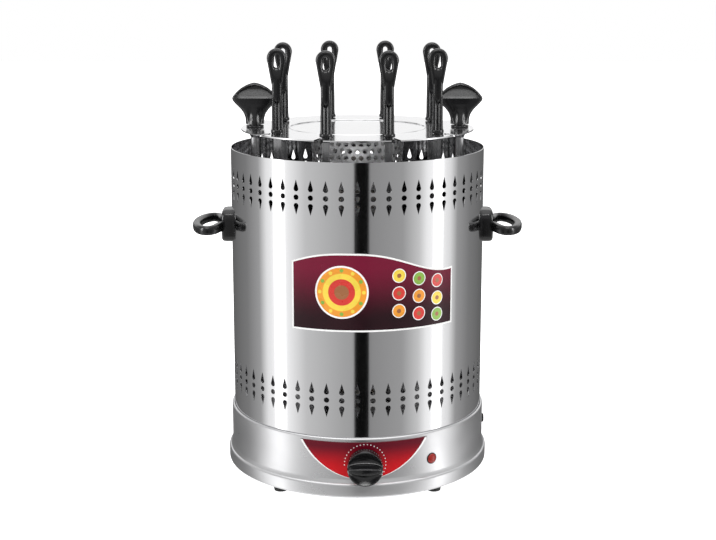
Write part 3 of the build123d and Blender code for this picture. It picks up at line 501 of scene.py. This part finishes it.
def makeBase(s):
    # a closed (radius, height) outline turned about Z: up the outside, over the curl and down the inside
    flange = (baseHigh[0] - baseLow[0]) / 2
    wall, sheet, curl = s["wallRadius"], s["sheet"], s["curl"]
    flangeTop = baseBottom + s["flangeTop"]
    shoulderTop = flangeTop + s["shoulder"]
    inside = shellRadius + s["seam"]
    profile = corner((flange - s["bottomCurl"], baseBottom + s["bottomCurl"]), s["bottomCurl"], -90, 0, 8)
    profile += [(flange, baseBottom + s["flangeSide"])]
    profile += corner((flange - s["flangeCurl"], flangeTop - s["flangeCurl"]), s["flangeCurl"], 0, 72, 10)
    profile += [(wall + s["seam"], shoulderTop - s["shoulderDip"]), (wall, shoulderTop)]
    profile += [(wall, (shoulderTop + baseTop) / 2)]
    profile += corner((wall - curl, baseTop - curl), curl, 0, 96, 12)
    profile += [(inside, baseTop - s["lip"]), (inside, shellLow[2]), (wall - sheet, shellLow[2] - sheet),
                (wall - sheet, shoulderTop), (flange - sheet, flangeTop - s["flangeInside"]),
                (flange - sheet, baseBottom + s["footInside"])]
    addPiece("baseShell", lathe(profile, s["segments"], closed=True), baseSteel, "base",
             ["base_housing"], sharp=40)
    high, outer = shellLow[2], wall - sheet
    inner = outer - s["shelf"]
    shelf = [(inner, high), (outer, high), (outer, high - sheet), (inner, high - sheet)]
    addPiece("baseShelf", lathe(shelf, s["shelfSegments"], closed=True), baseSteel, "base")


makeBase(basePiece)
print("base made")

discPiece = dict(ringRadius=65 * mm, ringTube=0.7 * mm, sunk=0.45 * mm, segments=160)


def makeDiscTrim(s):  # a small circle turned about Z: a rolled bead round the disc's shallow recess
    bead = corner((s["ringRadius"], discTop - s["sunk"]), s["ringTube"], 0, 360, 13)[:-1]
    addPiece("discBead", lathe(bead, s["segments"], closed=True), discSteel, "base",
             sharp=80)


makeDiscTrim(discPiece)

gripPiece = dict(headRadius=8.8 * mm, headDrop=22 * mm, waist=5.0 * mm, thick=4.1 * mm, eyeTop=2.1 * mm,
                 eyeBottom=2.5 * mm, eyeHigh=0.6 * mm, eyeLow=-6.0 * mm, eyeThin=0.86, headPower=0.72,
                 shaftPower=0.62, slim=0.97, flare=0.06, flareEnd=0.12, taper=0.05, taperFrom=0.3,
                 taperOver=0.4, tongueEnd=0.52, tongueHalf=3.1 * mm, tongueOver=0.16, tongueEdge=0.6 * mm,
                 groove=2.3 * mm, grooveHalf=1.9 * mm, grooveFade=0.1, grooveFace=0.2, overlap=0.3 * mm,
                 tuck=3.0 * mm, collar=5.8 * mm, collarHeight=3.0 * mm, collarClear=0.5 * mm,
                 edge=0.5 * mm, neck=3.2 * mm, neckTop=0.2 * mm, foot=4.1 * mm, footHeight=2.5 * mm)


def hullLoop(normal, topRadius, topAt, lowRadius, lowAt):
    # outline of two circles' hull by its normal's angle: on the upper circle while the normal points
    # above the lean
    lean = np.arcsin((topRadius - lowRadius) / (topAt - lowAt))
    onTop = np.sin(normal) > -np.sin(lean)
    radius = np.where(onTop, topRadius, lowRadius)
    level = np.where(onTop, topAt, lowAt)
    return radius * np.cos(normal), level + radius * np.sin(normal)


def gripHead(s):
    # rounded-square sections between the eye's outline and the outer one, both two circles' hulls; they
    # thin inwards
    normal = np.radians(np.concatenate([np.linspace(-84, -12, 9), np.linspace(-9, 189, 31),
                                        np.linspace(192, 264, 9)]))
    outerX, outerZ = hullLoop(normal, s["headRadius"], 0.0, s["waist"], -s["headDrop"])
    innerX, innerZ = hullLoop(normal, s["eyeTop"], s["eyeHigh"], s["eyeBottom"], s["eyeLow"])
    c, d = bulge(np.linspace(0, fullTurn, 24, endpoint=False), s["headPower"])
    share = (1 - c[None, :]) / 2
    x = innerX[:, None] + (outerX - innerX)[:, None] * share
    z = innerZ[:, None] + (outerZ - innerZ)[:, None] * share
    y = s["thick"] * d[None, :] * (s["eyeThin"] + (1 - s["eyeThin"]) * share) + 0 * x
    return surface(np.stack([x, y, z], -1), wrapRows=True, wrapColumns=True)


def gripShaft(s, low, high):
    # rounded-square sections up the shaft. A bell-shaped groove runs up both faces, and above tongueEnd a
    # tongue that widens upwards fills it
    level = np.concatenate([np.linspace(0, 0.04, 5), np.linspace(0.07, 0.93, 40),
                            np.linspace(0.96, 1, 5)])[:, None]
    c, d = bulge(np.linspace(0, fullTurn, 56, endpoint=False)[None, :], s["shaftPower"])
    flare = s["flare"] * ease((s["flareEnd"] - level) / s["flareEnd"])
    taper = s["taper"] * ease((level - s["taperFrom"]) / s["taperOver"])
    x = s["waist"] * (s["slim"] + flare - taper) * c
    tongueHalf = s["tongueHalf"] * np.clip((level - s["tongueEnd"]) / s["tongueOver"], 0, 1)
    inTongue = ease((tongueHalf - np.abs(x)) / s["tongueEdge"] + 0.5) * (level > s["tongueEnd"])
    valley = s["groove"] * np.exp(-((x / s["grooveHalf"]) ** 2))
    depth = valley * (1 - inTongue) * ease((1 - level) / s["grooveFade"])
    y = d * (s["thick"] - depth * (np.abs(d) > s["grooveFace"]))
    z = low + (high - low) * level + 0 * x
    return capped(np.stack([x, y, z], -1))


def makeGrip(number, s):  # head, shaft, a collar on the disc and a foot through its slot
    low, high = edges(f"skewer_handle_{number}")
    middle = np.array([(low[0] + high[0]) / 2, (low[1] + high[1]) / 2, 0])
    headAt = high[2] - s["headRadius"]
    bottom = discTop + s["collarClear"]
    top = bottom + s["collarHeight"]
    edge, neckTop, footTop = s["edge"], bottom + s["neckTop"], low[2] + s["footHeight"]
    head, headQuads = gripHead(s)
    head = head + np.array([0, 0, headAt])
    shaft = gripShaft(s, top - s["overlap"], headAt - s["headDrop"] + s["tuck"])
    collar = [(0, bottom)] + corner((s["collar"] - edge, bottom + edge), edge, -90, 0, 4)
    collar += corner((s["collar"] - edge, top - edge), edge, 0, 90, 4) + [(0, top)]
    foot = [(0, low[2])] + corner((s["foot"] - edge, low[2] + edge), edge, -90, 0, 4)
    foot += [(s["foot"], footTop), (s["neck"], footTop + s["overlap"]), (s["neck"], neckTop), (0, neckTop)]
    shape, quads = joined([(head, headQuads), shaft, lathe(collar, 32), lathe(foot, 32)])
    addPiece(f"grip_{number}", (shape + middle, quads), blackBakelite, f"skewer_{number}",
             [f"skewer_handle_{number}"], sharp=44)


for skewer in range(1, 9):
    makeGrip(skewer, gripPiece)
print("skewer handles made")

# levels, widths and depths are half sizes up the knob, in millimetres
teePiece = dict(levels=[0, 3.1, 3.2, 6, 9, 13, 17, 22, 25, 27.2, 27.3, 29, 31.5, 34, 37, 39.5, 41.2,
                        41.9],
                widths=[8.6, 8.6, 8.7, 8.7, 9.0, 10.4, 13.2, 18.2, 20.8, 21.3, 21.3, 20.6, 18.6, 16.2,
                        12.6, 8.2, 4.0, 0.8],
                depths=[8.0, 8.0, 8.1, 7.9, 7.0, 6.0, 5.4, 5.0, 5.0, 5.1, 5.1, 4.8, 4.5, 4.2, 3.9, 3.5,
                        2.6, 0.8], widest=9, powerLevels=[3, 9, 22, 42], powers=[1.0, 0.9, 0.7, 0.8],
                pocket=3.4 * mm, pocketStart=0.15, pocketOver=9 * mm, rimWidth=2.0 * mm, rimEdge=1.0 * mm,
                ledge=27.25 * mm, leafDepth=1.6 * mm, leafAt=4.6 * mm, leafHalf=1.9 * mm,
                leafLevel=9.5 * mm, leafTall=5.5 * mm, face=0.25, neck=5.3 * mm, neckTop=3.6 * mm,
                washer=8.3 * mm, washerHeight=1.8 * mm, washerEdge=0.4 * mm)


def makeTee(side, s):
    # rounded-square sections whose half sizes follow the lists. Above the ledge a pocket sinks into both
    # faces, a rim's width inside the outline, and two leaf-shaped dents, bells of x and height, flank the
    # neck
    low, high = edges(f"tee_knob_{side}")
    middle = np.array([(low[0] + high[0]) / 2, 0, discTop])
    fine = np.sort(np.concatenate([np.linspace(3.15, 41.9, 64), [27.2, 27.3]]))
    width = np.interp(fine, s["levels"], s["widths"])[:, None] * mm
    depth = np.interp(fine, s["levels"], s["depths"])[:, None] * mm
    level = fine[:, None] * mm
    power = np.interp(fine, s["powerLevels"], s["powers"])[:, None]
    c, d = bulge(np.linspace(0, fullTurn, 72, endpoint=False)[None, :], power)
    x = width * c
    upper = slice(None, s["widest"], -1)
    outline = np.interp(np.abs(x), np.array(s["widths"][upper]) * mm, np.array(s["levels"][upper]) * mm)
    inside = ease((outline - level - s["rimWidth"]) / s["rimEdge"]) * (level > s["ledge"])
    sunk = s["pocketStart"] + (1 - s["pocketStart"]) * np.clip((level - s["ledge"]) / s["pocketOver"], 0, 1)
    aside = (np.abs(x) - s["leafAt"]) / s["leafHalf"]
    above = (level - s["leafLevel"]) / s["leafTall"]
    dent = s["pocket"] * inside * sunk + s["leafDepth"] * np.exp(-(aside**2 + above**2))
    y = d * (depth - dent * (np.abs(d) > s["face"]))
    points = np.stack([x, y, level + 0 * x], -1)
    washer, edge, height = s["washer"], s["washerEdge"], s["washerHeight"]
    neck = [(0, 0), (washer - edge, 0), (washer, edge), (washer, height - edge), (washer - edge, height)]
    neck += [(s["neck"], height + 0.1 * mm), (s["neck"], s["neckTop"]), (0, s["neckTop"])]
    shape, quads = joined([capped(points), lathe(neck, 40)])
    addPiece(f"teeKnob_{side}", (shape + middle, quads), blackBakelite, f"tee_{side}",
             [f"tee_knob_{side}"], sharp=46)


for side in ("left", "right"):
    makeTee(side, teePiece)
print("T-shaped knobs made")

# the bar's route is (away from the middle, along the shell) in millimetres; blockRows is (share out, scale)
carryPiece = dict(height=241.5 * mm, barWide=3.9 * mm, barHigh=4.4 * mm, barPower=0.7, rootGrowth=0.10,
                  rootEnd=135 * mm, rootOver=8 * mm, blockHigh=15.5 * mm, blockHalf=18 * mm,
                  blockOut=129 * mm, blockPower=0.45, routeEnd=(154.3, 0),
                  route=[(124, 13.2), (129, 13.8), (132, 19), (134, 31), (141, 39), (149, 30),
                         (152.8, 15)],
                  blockRows=[(0.0, 1.0), (0.55, 1.0), (0.8, 0.985), (0.92, 0.955), (0.98, 0.92),
                             (1.0, 0.88)])


def makeCarry(side, sign, s):
    # the bar is a rounded square carried along a level B-spline, and the block is rounded squares that
    # start on the shell's cylinder and shrink towards a flat end
    route = [(x, -y) for x, y in s["route"]] + [s["routeEnd"]] + s["route"][::-1]
    path = splinePath(np.array(route) * mm, 90)
    run = np.gradient(path, axis=0)
    run /= np.linalg.norm(run, axis=1, keepdims=True)
    outward = np.stack([run[:, 1], -run[:, 0]], -1)
    c, d = bulge(np.linspace(0, fullTurn, 28, endpoint=False)[None, :], s["barPower"])
    high = s["barHigh"] * (1 + s["rootGrowth"] * ease((s["rootEnd"] - path[:, :1]) / s["rootOver"]))
    x = path[:, :1] + outward[:, :1] * s["barWide"] * c
    y = path[:, 1:] + outward[:, 1:] * s["barWide"] * c
    z = s["height"] + high * d
    bar = capped(np.stack([sign * x, y, z], -1))
    c, d = bulge(np.linspace(0, fullTurn, 72, endpoint=False), s["blockPower"])
    sections = []
    for out, scale in s["blockRows"]:
        y = s["blockHalf"] * scale * c
        z = s["height"] + s["blockHigh"] * (scale * 1.1 - 0.1) * d
        back = np.sqrt(shellRadius**2 - y**2)
        sections.append(np.stack([sign * (back + (s["blockOut"] - back) * out), y, z], -1))
    addPiece(f"carryHandle_{side}", joined([bar, capped(np.stack(sections))]), blackBakelite, "shell",
             [f"side_handle_{side}"], sharp=40)


makeCarry("left", -1, carryPiece)
makeCarry("right", 1, carryPiece)
print("side handles made")

knobPiece = dict(radius=16.1 * mm, skirt=10.6 * mm, scoop=5.2 * mm, scoopSkew=0.8, scoopFade=0.7,
                 barHalf=3.4 * mm, flank=2.2 * mm, crownPower=0.35, rim=0.93, rimDrop=0.14,
                 ringTube=0.32 * mm, ringAt=0.8)


def makeKnob(s):
    # the face's height over a polar grid: a skirt with a scoop, half a sine wave from the bar to the rim,
    # on each side of a lens-shaped bar with a crown; past rim the grid turns down over a quarter circle
    low, high = edges("timer_knob")
    centre = np.array([(low[0] + high[0]) / 2, high[1], (low[2] + high[2]) / 2])
    full = high[1] - low[1]
    radius, rim = s["radius"], s["rim"]
    turned = rim + (1 - rim) * np.sin(np.linspace(0.15, np.pi / 2, 8))
    reach = np.concatenate([np.linspace(0, rim, 48), turned])[:, None]
    angle = np.linspace(0, fullTurn, 160, endpoint=False)[None, :]
    x = reach * radius * np.cos(angle)
    z = reach * radius * np.sin(angle)
    edge = np.sqrt(np.clip(1 - ((reach - rim) / (1 - rim)).clip(0, 1) ** 2, 0, 1))
    chord = np.sqrt(np.clip(radius**2 - x**2, 0, None)) + 0.1 * mm
    lens = s["barHalf"] * np.sqrt(np.clip(1 - (x / radius) ** 2, 0, 1))
    share = np.clip((np.abs(z) - lens * 0.5) / (chord - lens * 0.5), 0, 1)
    wave = np.sin(np.pi * share ** s["scoopSkew"])
    face = s["skirt"] - s["scoop"] * wave * (chord / radius) ** s["scoopFade"]
    ridge = ease((lens - np.abs(z)) / s["flank"] + 0.5)
    crown = (full - s["skirt"]) * np.clip(1 - (x / radius) ** 2, 0, 1) ** s["crownPower"]
    height = (face + crown * ridge) * (1 - s["rimDrop"] + s["rimDrop"] * edge)
    front = np.stack([x, -height, z], -1)
    back = np.stack([x[-1:], 0 * x[-1:], z[-1:]], -1)
    hub = np.zeros((1, x.shape[1], 3))
    shape, quads = surface(np.concatenate([front, back, hub]), wrapColumns=True)
    addPiece("dialKnob", (shape + centre, quads), knobBlack, "timer_dial", ["timer_knob"],
             sharp=42)
    bead = corner((radius - s["ringTube"], s["skirt"] * s["ringAt"]), s["ringTube"], 0, 360, 11)[:-1]
    ring = lathe(bead, 96, centre=centre, along=(0, -1, 0), closed=True)
    addPiece("dialRing", ring, brightTrim, "timer_dial", sharp=80)
    return centre


knobCentre = makeKnob(knobPiece)
print("knob made")

panelPiece = dict(radius=123.5 * mm, back=122.5 * mm, middle=6.0 * mm, topHalf=57.5 * mm, tipHalf=11 * mm,
                  waistShare=0.68, waistRise=0.36, plateDrop=0.15 * mm, trim=1.2 * mm, trimTop=1.6,
                  dots=24, dotStart=182, dotStop=-44, dotCircle=18.7 * mm, dotRadius=0.5 * mm,
                  dotRows=[(0.0, 0.02 * mm), (1.0, 0.03 * mm), (1.0, 0.5 * mm), (0.0, 0.5 * mm)])


def arcThrough(a, b, c, steps):
    # points from a to c through b: as complex numbers, w = (c - a) / (b - a) gives the circle's middle
    a, b, c = (complex(*p) for p in (a, b, c))
    w = (c - a) / (b - a)
    middle = a + (b - a) * (w - abs(w) ** 2) / (w - w.conjugate())
    first = a - middle
    sweep = np.angle((c - middle) / first)
    points = middle + first * np.exp(1j * sweep * np.linspace(0, 1, steps))
    return points.real, points.imag


def onBase(x, z, radius):  # places flat (x, z) points on the base's round wall
    return np.stack([x, -np.sqrt(radius**2 - x**2), z], -1)


def twoFaced(outer, inner):
    # a thin plate: two grids of points and a strip of quads along each of four edges
    quads = gridQuads(*outer.shape[:2])
    parts = [(outer.reshape(-1, 3), quads), (inner.reshape(-1, 3), quads)]
    for edge in ((slice(None), 0), (slice(None), -1), (0, slice(None)), (-1, slice(None))):
        parts.append(surface(np.stack([outer[edge], inner[edge]])))
    return joined(parts)


def makePanel(s):
    # half widths along an arc down each side, joined by level rows; the trim follows the sides, and the
    # dial's dots stand on a circle about the knob
    low, high = edges("control_panel")
    drop = high[2] - low[2]
    waist = (s["waistShare"] * s["topHalf"], low[2] + s["waistRise"] * drop)
    half, level = arcThrough((s["topHalf"], high[2]), waist, (s["tipHalf"], low[2]), 48)
    x = s["middle"] + half[:, None] * np.linspace(-1, 1, 61)[None, :]
    z = level[:, None] + 0 * x
    plate = twoFaced(onBase(x, z, s["radius"] - s["plateDrop"]), onBase(x, z, s["back"]))
    addPiece("panelPlate", plate, panelRed, "base", ["control_panel"], sharp=50)
    inner = half - s["trim"] * np.linspace(s["trimTop"], 1.0, 48)
    strips = []
    for sign in (-1, 1):
        x = s["middle"] + sign * np.stack([half, inner])
        z = np.stack([level, level])
        strips.append(twoFaced(onBase(x, z, s["radius"]), onBase(x, z, s["back"])))
    addPiece("panelTrim", joined(strips), dotWhite, "base", sharp=50)
    turn = np.radians(np.linspace(s["dotStart"], s["dotStop"], s["dots"]))
    dotX = knobCentre[0] + s["dotCircle"] * np.cos(turn)
    dotZ = knobCentre[2] + s["dotCircle"] * np.sin(turn)
    around = np.linspace(0, fullTurn, 12, endpoint=False)
    ringX, ringZ = s["dotRadius"] * np.cos(around), s["dotRadius"] * np.sin(around)
    dots = []
    for x, z in zip(dotX, dotZ):
        rows = [onBase(x + k * ringX, z + k * ringZ, s["radius"] - sunk) for k, sunk in s["dotRows"]]
        dots.append(surface(np.stack(rows), wrapColumns=True))
    addPiece("dialDots", joined(dots), dotWhite, "base", sharp=60)


makePanel(panelPiece)
print("panel made")

lampPiece = dict(angle=33.7, height=42 * mm, radius=5.3 * mm, wall=122.5 * mm, sunk=0.6 * mm,
                 domeHeight=3.0 * mm, domeInset=0.7 * mm, domeStart=0.8 * mm, bezelTube=0.5 * mm,
                 bezelAt=0.7 * mm)


def makeLamp(s):  # a quarter ellipse turned about the wall's normal, and a bead round it
    out = np.array([np.sin(radians(s["angle"])), -np.cos(radians(s["angle"])), 0])
    centre = out * (s["wall"] - s["sunk"]) + np.array([0, 0, s["height"]])
    radius, start = s["radius"] - s["domeInset"], s["domeStart"]
    a = np.radians(np.linspace(0, 90, 14))
    dome = [(0, 0), (radius, 0)]
    dome += list(zip(radius * np.cos(a), start + (s["domeHeight"] - start) * np.sin(a)))
    addPiece("lampLens", lathe(dome, 64, centre, out), lensRed, "base", ["indicator_lens"],
             sharp=60)
    bezel = corner((s["radius"] - s["bezelTube"], s["bezelAt"]), s["bezelTube"], 0, 360, 13)[:-1]
    addPiece("lampBezel", lathe(bezel, 64, centre, out, closed=True), knobBlack, "base",
             sharp=80)


makeLamp(lampPiece)
print("lamp made")

# rings is (outer radius, inner radius, ink) and small is (share along, height, ink), in millimetres
labelPiece = dict(start=-29.0, stop=45.5, low=166 * mm, high=238 * mm, base=120 * mm, edge=1.6 * mm,
                  topGap=1.0 * mm, waveAt=0.34, waves=0.82, waveDrop=19 * mm, wavePower=1.4,
                  edgeLift=0.08 * mm, foilLift=0.13 * mm, ringLift=0.19 * mm, discLift=0.2 * mm,
                  spotLift=0.22 * mm, bigShare=0.30, bigRise=36 * mm, spots=12, spotCircle=19.7 * mm,
                  spotRadius=1.7 * mm, smallRadius=5.6 * mm, smallRim=6.4 * mm, smallSpot=2.0 * mm,
                  rings=[(24, 22.4, "dotWhite"), (22.4, 17, "foilAmber"), (17, 12, "foilYellow"),
                         (12, 6.5, "foilRed"), (6.5, 0, "foilBrown")],
                  small=[(0.63, 50, "foilYellow"), (0.63, 34, "foilRed"), (0.63, 18, "foilAmber"),
                         (0.755, 46, "foilGreen"), (0.755, 30, "foilAmber"), (0.755, 14, "foilRed"),
                         (0.88, 42, "foilRed"), (0.88, 26, "foilYellow"), (0.88, 11, "foilGreen")],
                  inks=dict(foilAmber=(0.80, 0.30, 0.02), foilYellow=(0.85, 0.62, 0.06),
                            foilRed=(0.62, 0.03, 0.02), foilGreen=(0.22, 0.42, 0.05),
                            foilBrown=(0.33, 0.12, 0.04)))


def onShell(across, height, lift):  # flat points rolled on the shell's cylinder, lift above it
    angle = across / labelPiece["base"]
    radius = labelPiece["base"] + lift
    return np.stack([radius * np.sin(angle), -radius * np.cos(angle), height], -1)


def foil(across, height, lift):  # a thin sheet on the shell
    return twoFaced(onShell(across, height, lift), onShell(across, height, 0.0))


def foilDisc(across, height, radius, lift, inner=0.0, steps=40):
    # disc or ring of foil, four circles of points
    angle = np.linspace(0, fullTurn, steps, endpoint=False)
    rows = []
    for r, up in ((inner, lift), (radius, lift), (radius, 0.0), (inner, 0.0)):
        rows.append(onShell(across + r * np.cos(angle), height + r * np.sin(angle), up + 0 * angle))
    return surface(np.stack(rows), wrapRows=inner > 0, wrapColumns=True)


def labelTop(share, s):  # the label's upper edge drops away from a cosine wave's crest at waveAt
    wave = 0.5 + 0.5 * np.cos((share - s["waveAt"]) * fullTurn * s["waves"])
    return s["high"] - s["topGap"] - s["waveDrop"] * (1 - wave) ** s["wavePower"]


def makeLabel(s):
    # a white sheet and a slightly smaller printed one, then a big ringed disc and nine small ones, each a
    # little further out than what it lies on; pieces are made by ink
    left, right = (radians(s[side]) * s["base"] for side in ("start", "stop"))
    width = right - left
    along = np.linspace(0, 1, 81)[None, :]
    up = np.linspace(0, 1, 13)[:, None]
    layers = (("labelEdge", 0.0, s["edgeLift"], dotWhite, ["front_label"]),
              ("labelFoil", s["edge"], s["foilLift"], labelGround, ()))
    for name, inset, lift, material, replaced in layers:
        across = left + inset + (width - 2 * inset) * along
        top = labelTop((across - left) / width, s) - inset
        bottom = s["low"] + inset
        height = bottom + (top - bottom) * up
        addPiece(name, foil(across + 0 * up, height, lift), material, "shell", replaced,
                 sharp=60)
    inks = {name: plastic(name, colour, 0.28, coat=0.4) for name, colour in s["inks"].items()}
    big = (left + s["bigShare"] * width, s["low"] + s["bigRise"])
    shapes = {}
    for outer, inner, ink in s["rings"]:
        shapes.setdefault(ink, []).append(foilDisc(*big, outer * mm, s["ringLift"], inner * mm, 72))
    for share, rise, ink in s["small"]:
        place = (left + share * width, s["low"] + rise * mm)
        shapes.setdefault(ink, []).append(foilDisc(*place, s["smallRadius"], s["discLift"]))
        rim = foilDisc(*place, s["smallRim"], s["ringLift"], s["smallRadius"])
        shapes.setdefault("dotWhite", []).append(rim)
        shapes.setdefault("foilBrown", []).append(foilDisc(*place, s["smallSpot"], s["spotLift"], 0.0, 20))
    for n in range(s["spots"]):
        turn = n * fullTurn / s["spots"]
        place = (big[0] + s["spotCircle"] * np.cos(turn), big[1] + s["spotCircle"] * np.sin(turn))
        ink = "foilGreen" if n % 2 else "foilYellow"
        shapes.setdefault(ink, []).append(foilDisc(*place, s["spotRadius"], s["spotLift"], 0.0, 18))
    for ink, parts in shapes.items():
        addPiece(f"label_{ink}", joined(parts), inks.get(ink, dotWhite), "shell", sharp=60)


makeLabel(labelPiece)
print("label made")

# stops is (azimuth in degrees from the camera's side, grey) round the tent below its horizon
tent = dict(radius=3.0, floorLevel=-2.0, horizon=0.42, cardTop=1.9, roof=2.4, ceiling=0.5,
            ceilingMiddle=2.2, cardBlend=0.04, roofBlend=0.1, backCard=0.97, cardEdge=138, sideCard=0.6,
            stops=[(-180, 0.10), (-150, 0.14), (-118, 0.22), (-98, 0.38), (-88, 0.9), (-80, 1.05),
                   (-76, 2.4), (-70, 2.4), (-66, 1.05), (-60, 0.92), (-46, 0.62), (-12, 0.43),
                   (-3.2, 0.40), (-2.2, 0.004), (9.6, 0.004), (10.6, 0.29), (40, 0.37), (56, 0.66),
                   (64, 1.0), (70, 1.1), (73, 2.4), (79, 2.4), (82, 1.0), (90, 0.85), (100, 0.36),
                   (120, 0.22), (150, 0.14), (180, 0.10)])


def makeTent(s):
    # an upright drum and its lid, seen by glossy rays alone: grey bands below, cards above, each row of
    # points with its own greys
    columns = 721
    azimuth = np.linspace(-180, 180, columns)
    bands = np.interp(azimuth, *np.array(s["stops"]).T)
    card = np.where(np.abs(azimuth) > s["cardEdge"], s["backCard"], s["sideCard"])
    lid = 0 * bands + s["ceiling"]
    rows = [(s["floorLevel"], bands), (s["horizon"], bands), (s["horizon"] + s["cardBlend"], card),
            (s["cardTop"], card), (s["cardTop"] + s["roofBlend"], lid), (s["roof"], lid)]
    turn = np.radians(azimuth)
    ring = [s["radius"] * np.sin(turn), -s["radius"] * np.cos(turn)]
    points = [np.stack([*ring, level + 0 * turn], -1) for level, _ in rows]
    points.append(np.stack([0 * turn, 0 * turn, s["roof"] + 0 * turn], -1))
    grey = np.concatenate([value for _, value in rows] + [0 * bands + s["ceilingMiddle"]])
    mesh = bpy.data.meshes.new("tent")
    mesh.from_pydata(np.concatenate(points).tolist(), [], gridQuads(len(rows) + 1, columns).tolist())
    paint = mesh.color_attributes.new("grey", "FLOAT_COLOR", "POINT")
    colours = np.ones((len(grey), 4), dtype=np.float32)
    colours[:, :3] = grey[:, None]
    paint.data.foreach_set("color", colours.ravel())
    drum = bpy.data.objects.new("tent", mesh)
    bpy.context.scene.collection.objects.link(drum)
    material = bpy.data.materials.new("tent")
    material.use_nodes = True
    tree = material.node_tree
    tree.nodes.clear()
    out = tree.nodes.new("ShaderNodeOutputMaterial")
    glow = tree.nodes.new("ShaderNodeEmission")
    source = tree.nodes.new("ShaderNodeVertexColor")
    source.layer_name = "grey"
    tree.links.new(source.outputs["Color"], glow.inputs["Color"])
    tree.links.new(glow.outputs[0], out.inputs["Surface"])
    mesh.materials.append(material)
    drum.visible_camera = drum.visible_diffuse = drum.visible_shadow = drum.visible_transmission = False


makeTent(tent)


def gathered(name, starts):
    # a collection of the pieces whose names start so, for a lamp that lights them alone
    chosen = bpy.data.collections.new(name)
    for piece in list(bpy.context.scene.objects):
        if piece.name.startswith(starts):
            chosen.objects.link(piece)
    return chosen


def addLamp(name, place, target, size, power, onlyOn=None):
    # an area lamp turned from its place to its target
    data = bpy.data.lights.new(name, "AREA")
    data.shape = "RECTANGLE"
    data.size, data.size_y = size
    data.energy = power
    lamp = bpy.data.objects.new(name, data)
    lamp.location = place
    lamp.rotation_euler = (Vector(target) - Vector(place)).to_track_quat("-Z", "Y").to_euler()
    lamp.visible_glossy = onlyOn is not None
    if onlyOn is not None:
        lamp.light_linking.receiver_collection = onlyOn
    bpy.context.scene.collection.objects.link(lamp)


grillMiddle = (0, 0, 0.2)
grillTop = (0, 0, 0.36)
blackPieces = gathered("blackPieces", ("grip_", "teeKnob_", "carryHandle_", "dialKnob"))
drumOnly = gathered("drumOnly", "drumWall")
addLamp("leftBox", (-1.9, -1.1, 1.1), grillMiddle, (0.9, 1.6), 22)
addLamp("rightBox", (1.9, -1.1, 1.1), grillMiddle, (0.9, 1.6), 20)
addLamp("topBox", (0, -0.2, 2.2), grillMiddle, (1.6, 1.6), 22)
addLamp("leftStrip", (-2.2, -0.9, 0.9), grillTop, (0.7, 1.6), 34, blackPieces)
addLamp("rightStrip", (2.2, -0.9, 0.9), grillTop, (0.7, 1.6), 34, blackPieces)
addLamp("topStrip", (0, -1.3, 1.9), grillTop, (1.6, 0.4), 14, blackPieces)
addLamp("drumBox", (0, -2.4, 0.68), grillTop, (3.2, 0.4), 16, drumOnly)

studio = dict(fill=0.55, open=1.0, floorGrey=0.94, floorRoughness=0.9,
              floorCorners=[(-6, -4, 0), (6, -4, 0), (6, 6, 0), (-6, 6, 0)])


def makeWorld(s):
    # white: full for camera, glossy and transmitted rays, and fill for the light that it gives
    world = bpy.data.worlds.new("studio")
    bpy.context.scene.world = world
    world.use_nodes = True
    tree = world.node_tree
    ground = tree.nodes["Background"]
    ground.inputs["Color"].default_value = (1, 1, 1, 1)
    rays = tree.nodes.new("ShaderNodeLightPath")
    through = tree.nodes.new("ShaderNodeMath")
    through.operation = "MAXIMUM"
    seen = tree.nodes.new("ShaderNodeMath")
    seen.operation = "MAXIMUM"
    power = tree.nodes.new("ShaderNodeMapRange")
    power.inputs["To Min"].default_value = s["fill"]
    power.inputs["To Max"].default_value = s["open"]
    tree.links.new(rays.outputs["Is Glossy Ray"], through.inputs[0])
    tree.links.new(rays.outputs["Is Transmission Ray"], through.inputs[1])
    tree.links.new(rays.outputs["Is Camera Ray"], seen.inputs[0])
    tree.links.new(through.outputs[0], seen.inputs[1])
    tree.links.new(seen.outputs[0], power.inputs["Value"])
    tree.links.new(power.outputs["Result"], ground.inputs["Strength"])


def makeFloor(s):  # one white quad that glows for the camera alone
    mesh = bpy.data.meshes.new("floor")
    mesh.from_pydata(s["floorCorners"], [], [(0, 1, 2, 3)])
    floor = bpy.data.objects.new("floor", mesh)
    floor.visible_glossy = False
    bpy.context.scene.collection.objects.link(floor)
    material, tree, shader = newMaterial("floorWhite")
    shader.inputs["Base Color"].default_value = (s["floorGrey"], s["floorGrey"], s["floorGrey"], 1)
    shader.inputs["Roughness"].default_value = s["floorRoughness"]
    shader.inputs["Emission Color"].default_value = (1, 1, 1, 1)
    rays = tree.nodes.new("ShaderNodeLightPath")
    tree.links.new(rays.outputs["Is Camera Ray"], shader.inputs["Emission Strength"])
    mesh.materials.append(material)


makeWorld(studio)
makeFloor(studio)
print("stage set")
